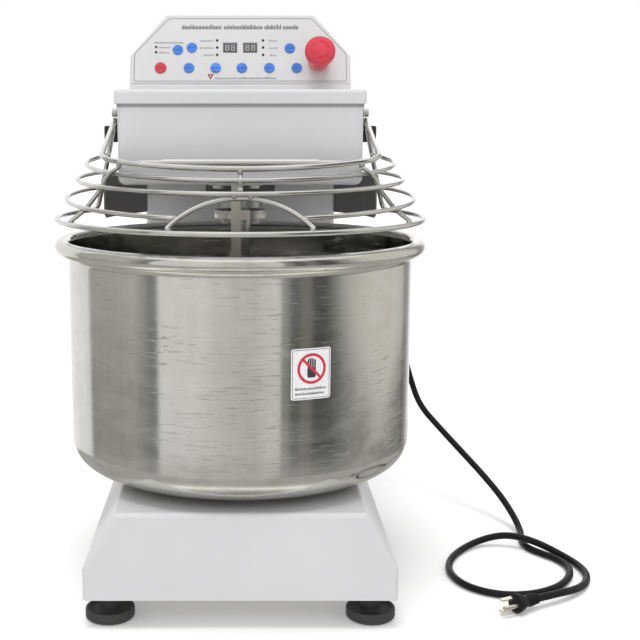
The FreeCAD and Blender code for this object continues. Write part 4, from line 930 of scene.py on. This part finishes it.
def guard_welds():
    """A small uneven bead wherever a rib crosses a ring of the guard."""
    bm = bmesh.new()
    rings = ["guard_low_ring", "guard_ring_2", "guard_ring_3", "guard_ring_4", "guard_top_wire"]
    places = [place for ring in rings for place in touching(nodes["guard_ribs"], nodes[ring], 1.0 * MM)]
    for place in places:
        made = bmesh.ops.create_icosphere(bm, subdivisions=3, radius=1)["verts"]
        lumps = [random.uniform(0.82, 1.15) for _ in range(3)]
        for vert in made:
            across = math.sin(7 * vert.co.x + 3 * lumps[0])
            ripple = 1 + 0.10 * across * math.sin(6 * vert.co.z + 2 * lumps[1])
            lumpy = Vector(part * size * ripple for part, size in zip(vert.co, lumps))
            vert.co = place + lumpy * WELD_RADIUS
    print("weld beads", len(places))
    piece = add_object("guard_welds", mesh_from("guard_welds", bm), "guard")
    dress(piece, metal("weld_steel", (0.60, 0.58, 0.55), 0.36, (1, 1, 1), 500.0, 0.3))


guard_welds()


# ---------------------------------------------------------------- lofted pieces

def lofted(sections, place, corners=48):
    """A closed body through (distance, half width, half height) sections, with oval outlines."""
    bm = bmesh.new()
    rings = []
    for distance, across, upright in sections:
        ring = []
        for step in range(corners):
            turn = 2 * math.pi * step / corners
            ring.append(bm.verts.new(place(distance, across * math.cos(turn), upright * math.sin(turn))))
        rings.append(ring)
    for low, high in zip(rings, rings[1:]):
        for step in range(corners):
            after = (step + 1) % corners
            bm.faces.new([low[step], low[after], high[after], high[step]])
    bm.faces.new(rings[0])
    bm.faces.new(rings[-1])
    return bm


def ribbed(start, end, radii, count, depth):
    """Sections of a tapered sleeve with grooves round it."""
    sections = []
    for step in range(count * 8 + 1):
        share = step / (count * 8)
        radius = radii[0] + (radii[1] - radii[0]) * share
        groove = depth * (0.5 - 0.5 * math.cos(2 * math.pi * share * count)) ** 2
        sections.append((start + (end - start) * share, radius - groove, radius - groove))
    return sections


def plug():
    """The moulded plug: ribbed collar, waisted grip and a wider flat face."""
    end = Vector(CORD_ROUTE[-1])
    heading = (end - Vector(CORD_ROUTE[-2])).normalized()
    sideways = Vector((-heading.y, heading.x, 0))

    def place(distance, across, upright):
        return at(*(end + heading * distance + sideways * across + Vector((0, 0, upright))))

    sections = ribbed(-1, 10.4, (6.0, 7.4), 3, 1.3)
    sections += [
        (11.0, 7.6, 7.4), (12.0, 6.7, 6.2), (14.0, 6.9, 5.9), (17.0, 8.0, 6.6), (20.0, 9.2, 8.2),
        (23.0, 10.3, 9.8), (25.5, 11.0, 10.6), (27.6, 11.4, 11.0), (29.2, 11.5, 11.1),
        (29.8, 11.2, 10.8), (30.0, 10.6, 10.2),
    ]
    piece = add_object("plug_moulding", mesh_from("plug_moulding", lofted(sections, place)), "frame",
                       ("plug_body",))
    dress(piece, FINISHES["cord_jacket"])


def strain_relief():
    """The grooved sleeve round the lead at the column."""
    def place(distance, across, upright):
        return at(distance, CORD_ROUTE[0][1] + across, CORD_ROUTE[0][2] + upright)

    sections = ribbed(137, 171, (9.0, 5.8), 6, 1.4)
    piece = add_object("strain_relief_sleeve", mesh_from("strain_relief_sleeve", lofted(sections, place)),
                       "frame", ("strain_relief",))
    dress(piece, FINISHES["rubber"])


def cover_gap_painted_shadow():
    """A dark strip in the gap between the head and its cover, put there as painted shadow."""
    low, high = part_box("head_shell")
    middle = (low + high) / 2
    outline = rounded_box(middle.x / MM, (middle.y - BOWL_Y) / MM, (high.x - low.x) / MM + 1.6,
                          (high.y - low.y) / MM + 1.6, 8.8, 10)
    top = high.z / MM
    # The strip's dark grey is painted shadow of the gap under the cover.
    piece = printed("cover_gap_painted_shadow", band(outline, 2.0), (top - 3.4, top - 0.1), at,
                    plastic("painted_gap_shadow", (0.20, 0.20, 0.205), 0.6), "frame")
    return piece


plug()
strain_relief()
cover_gap_painted_shadow()
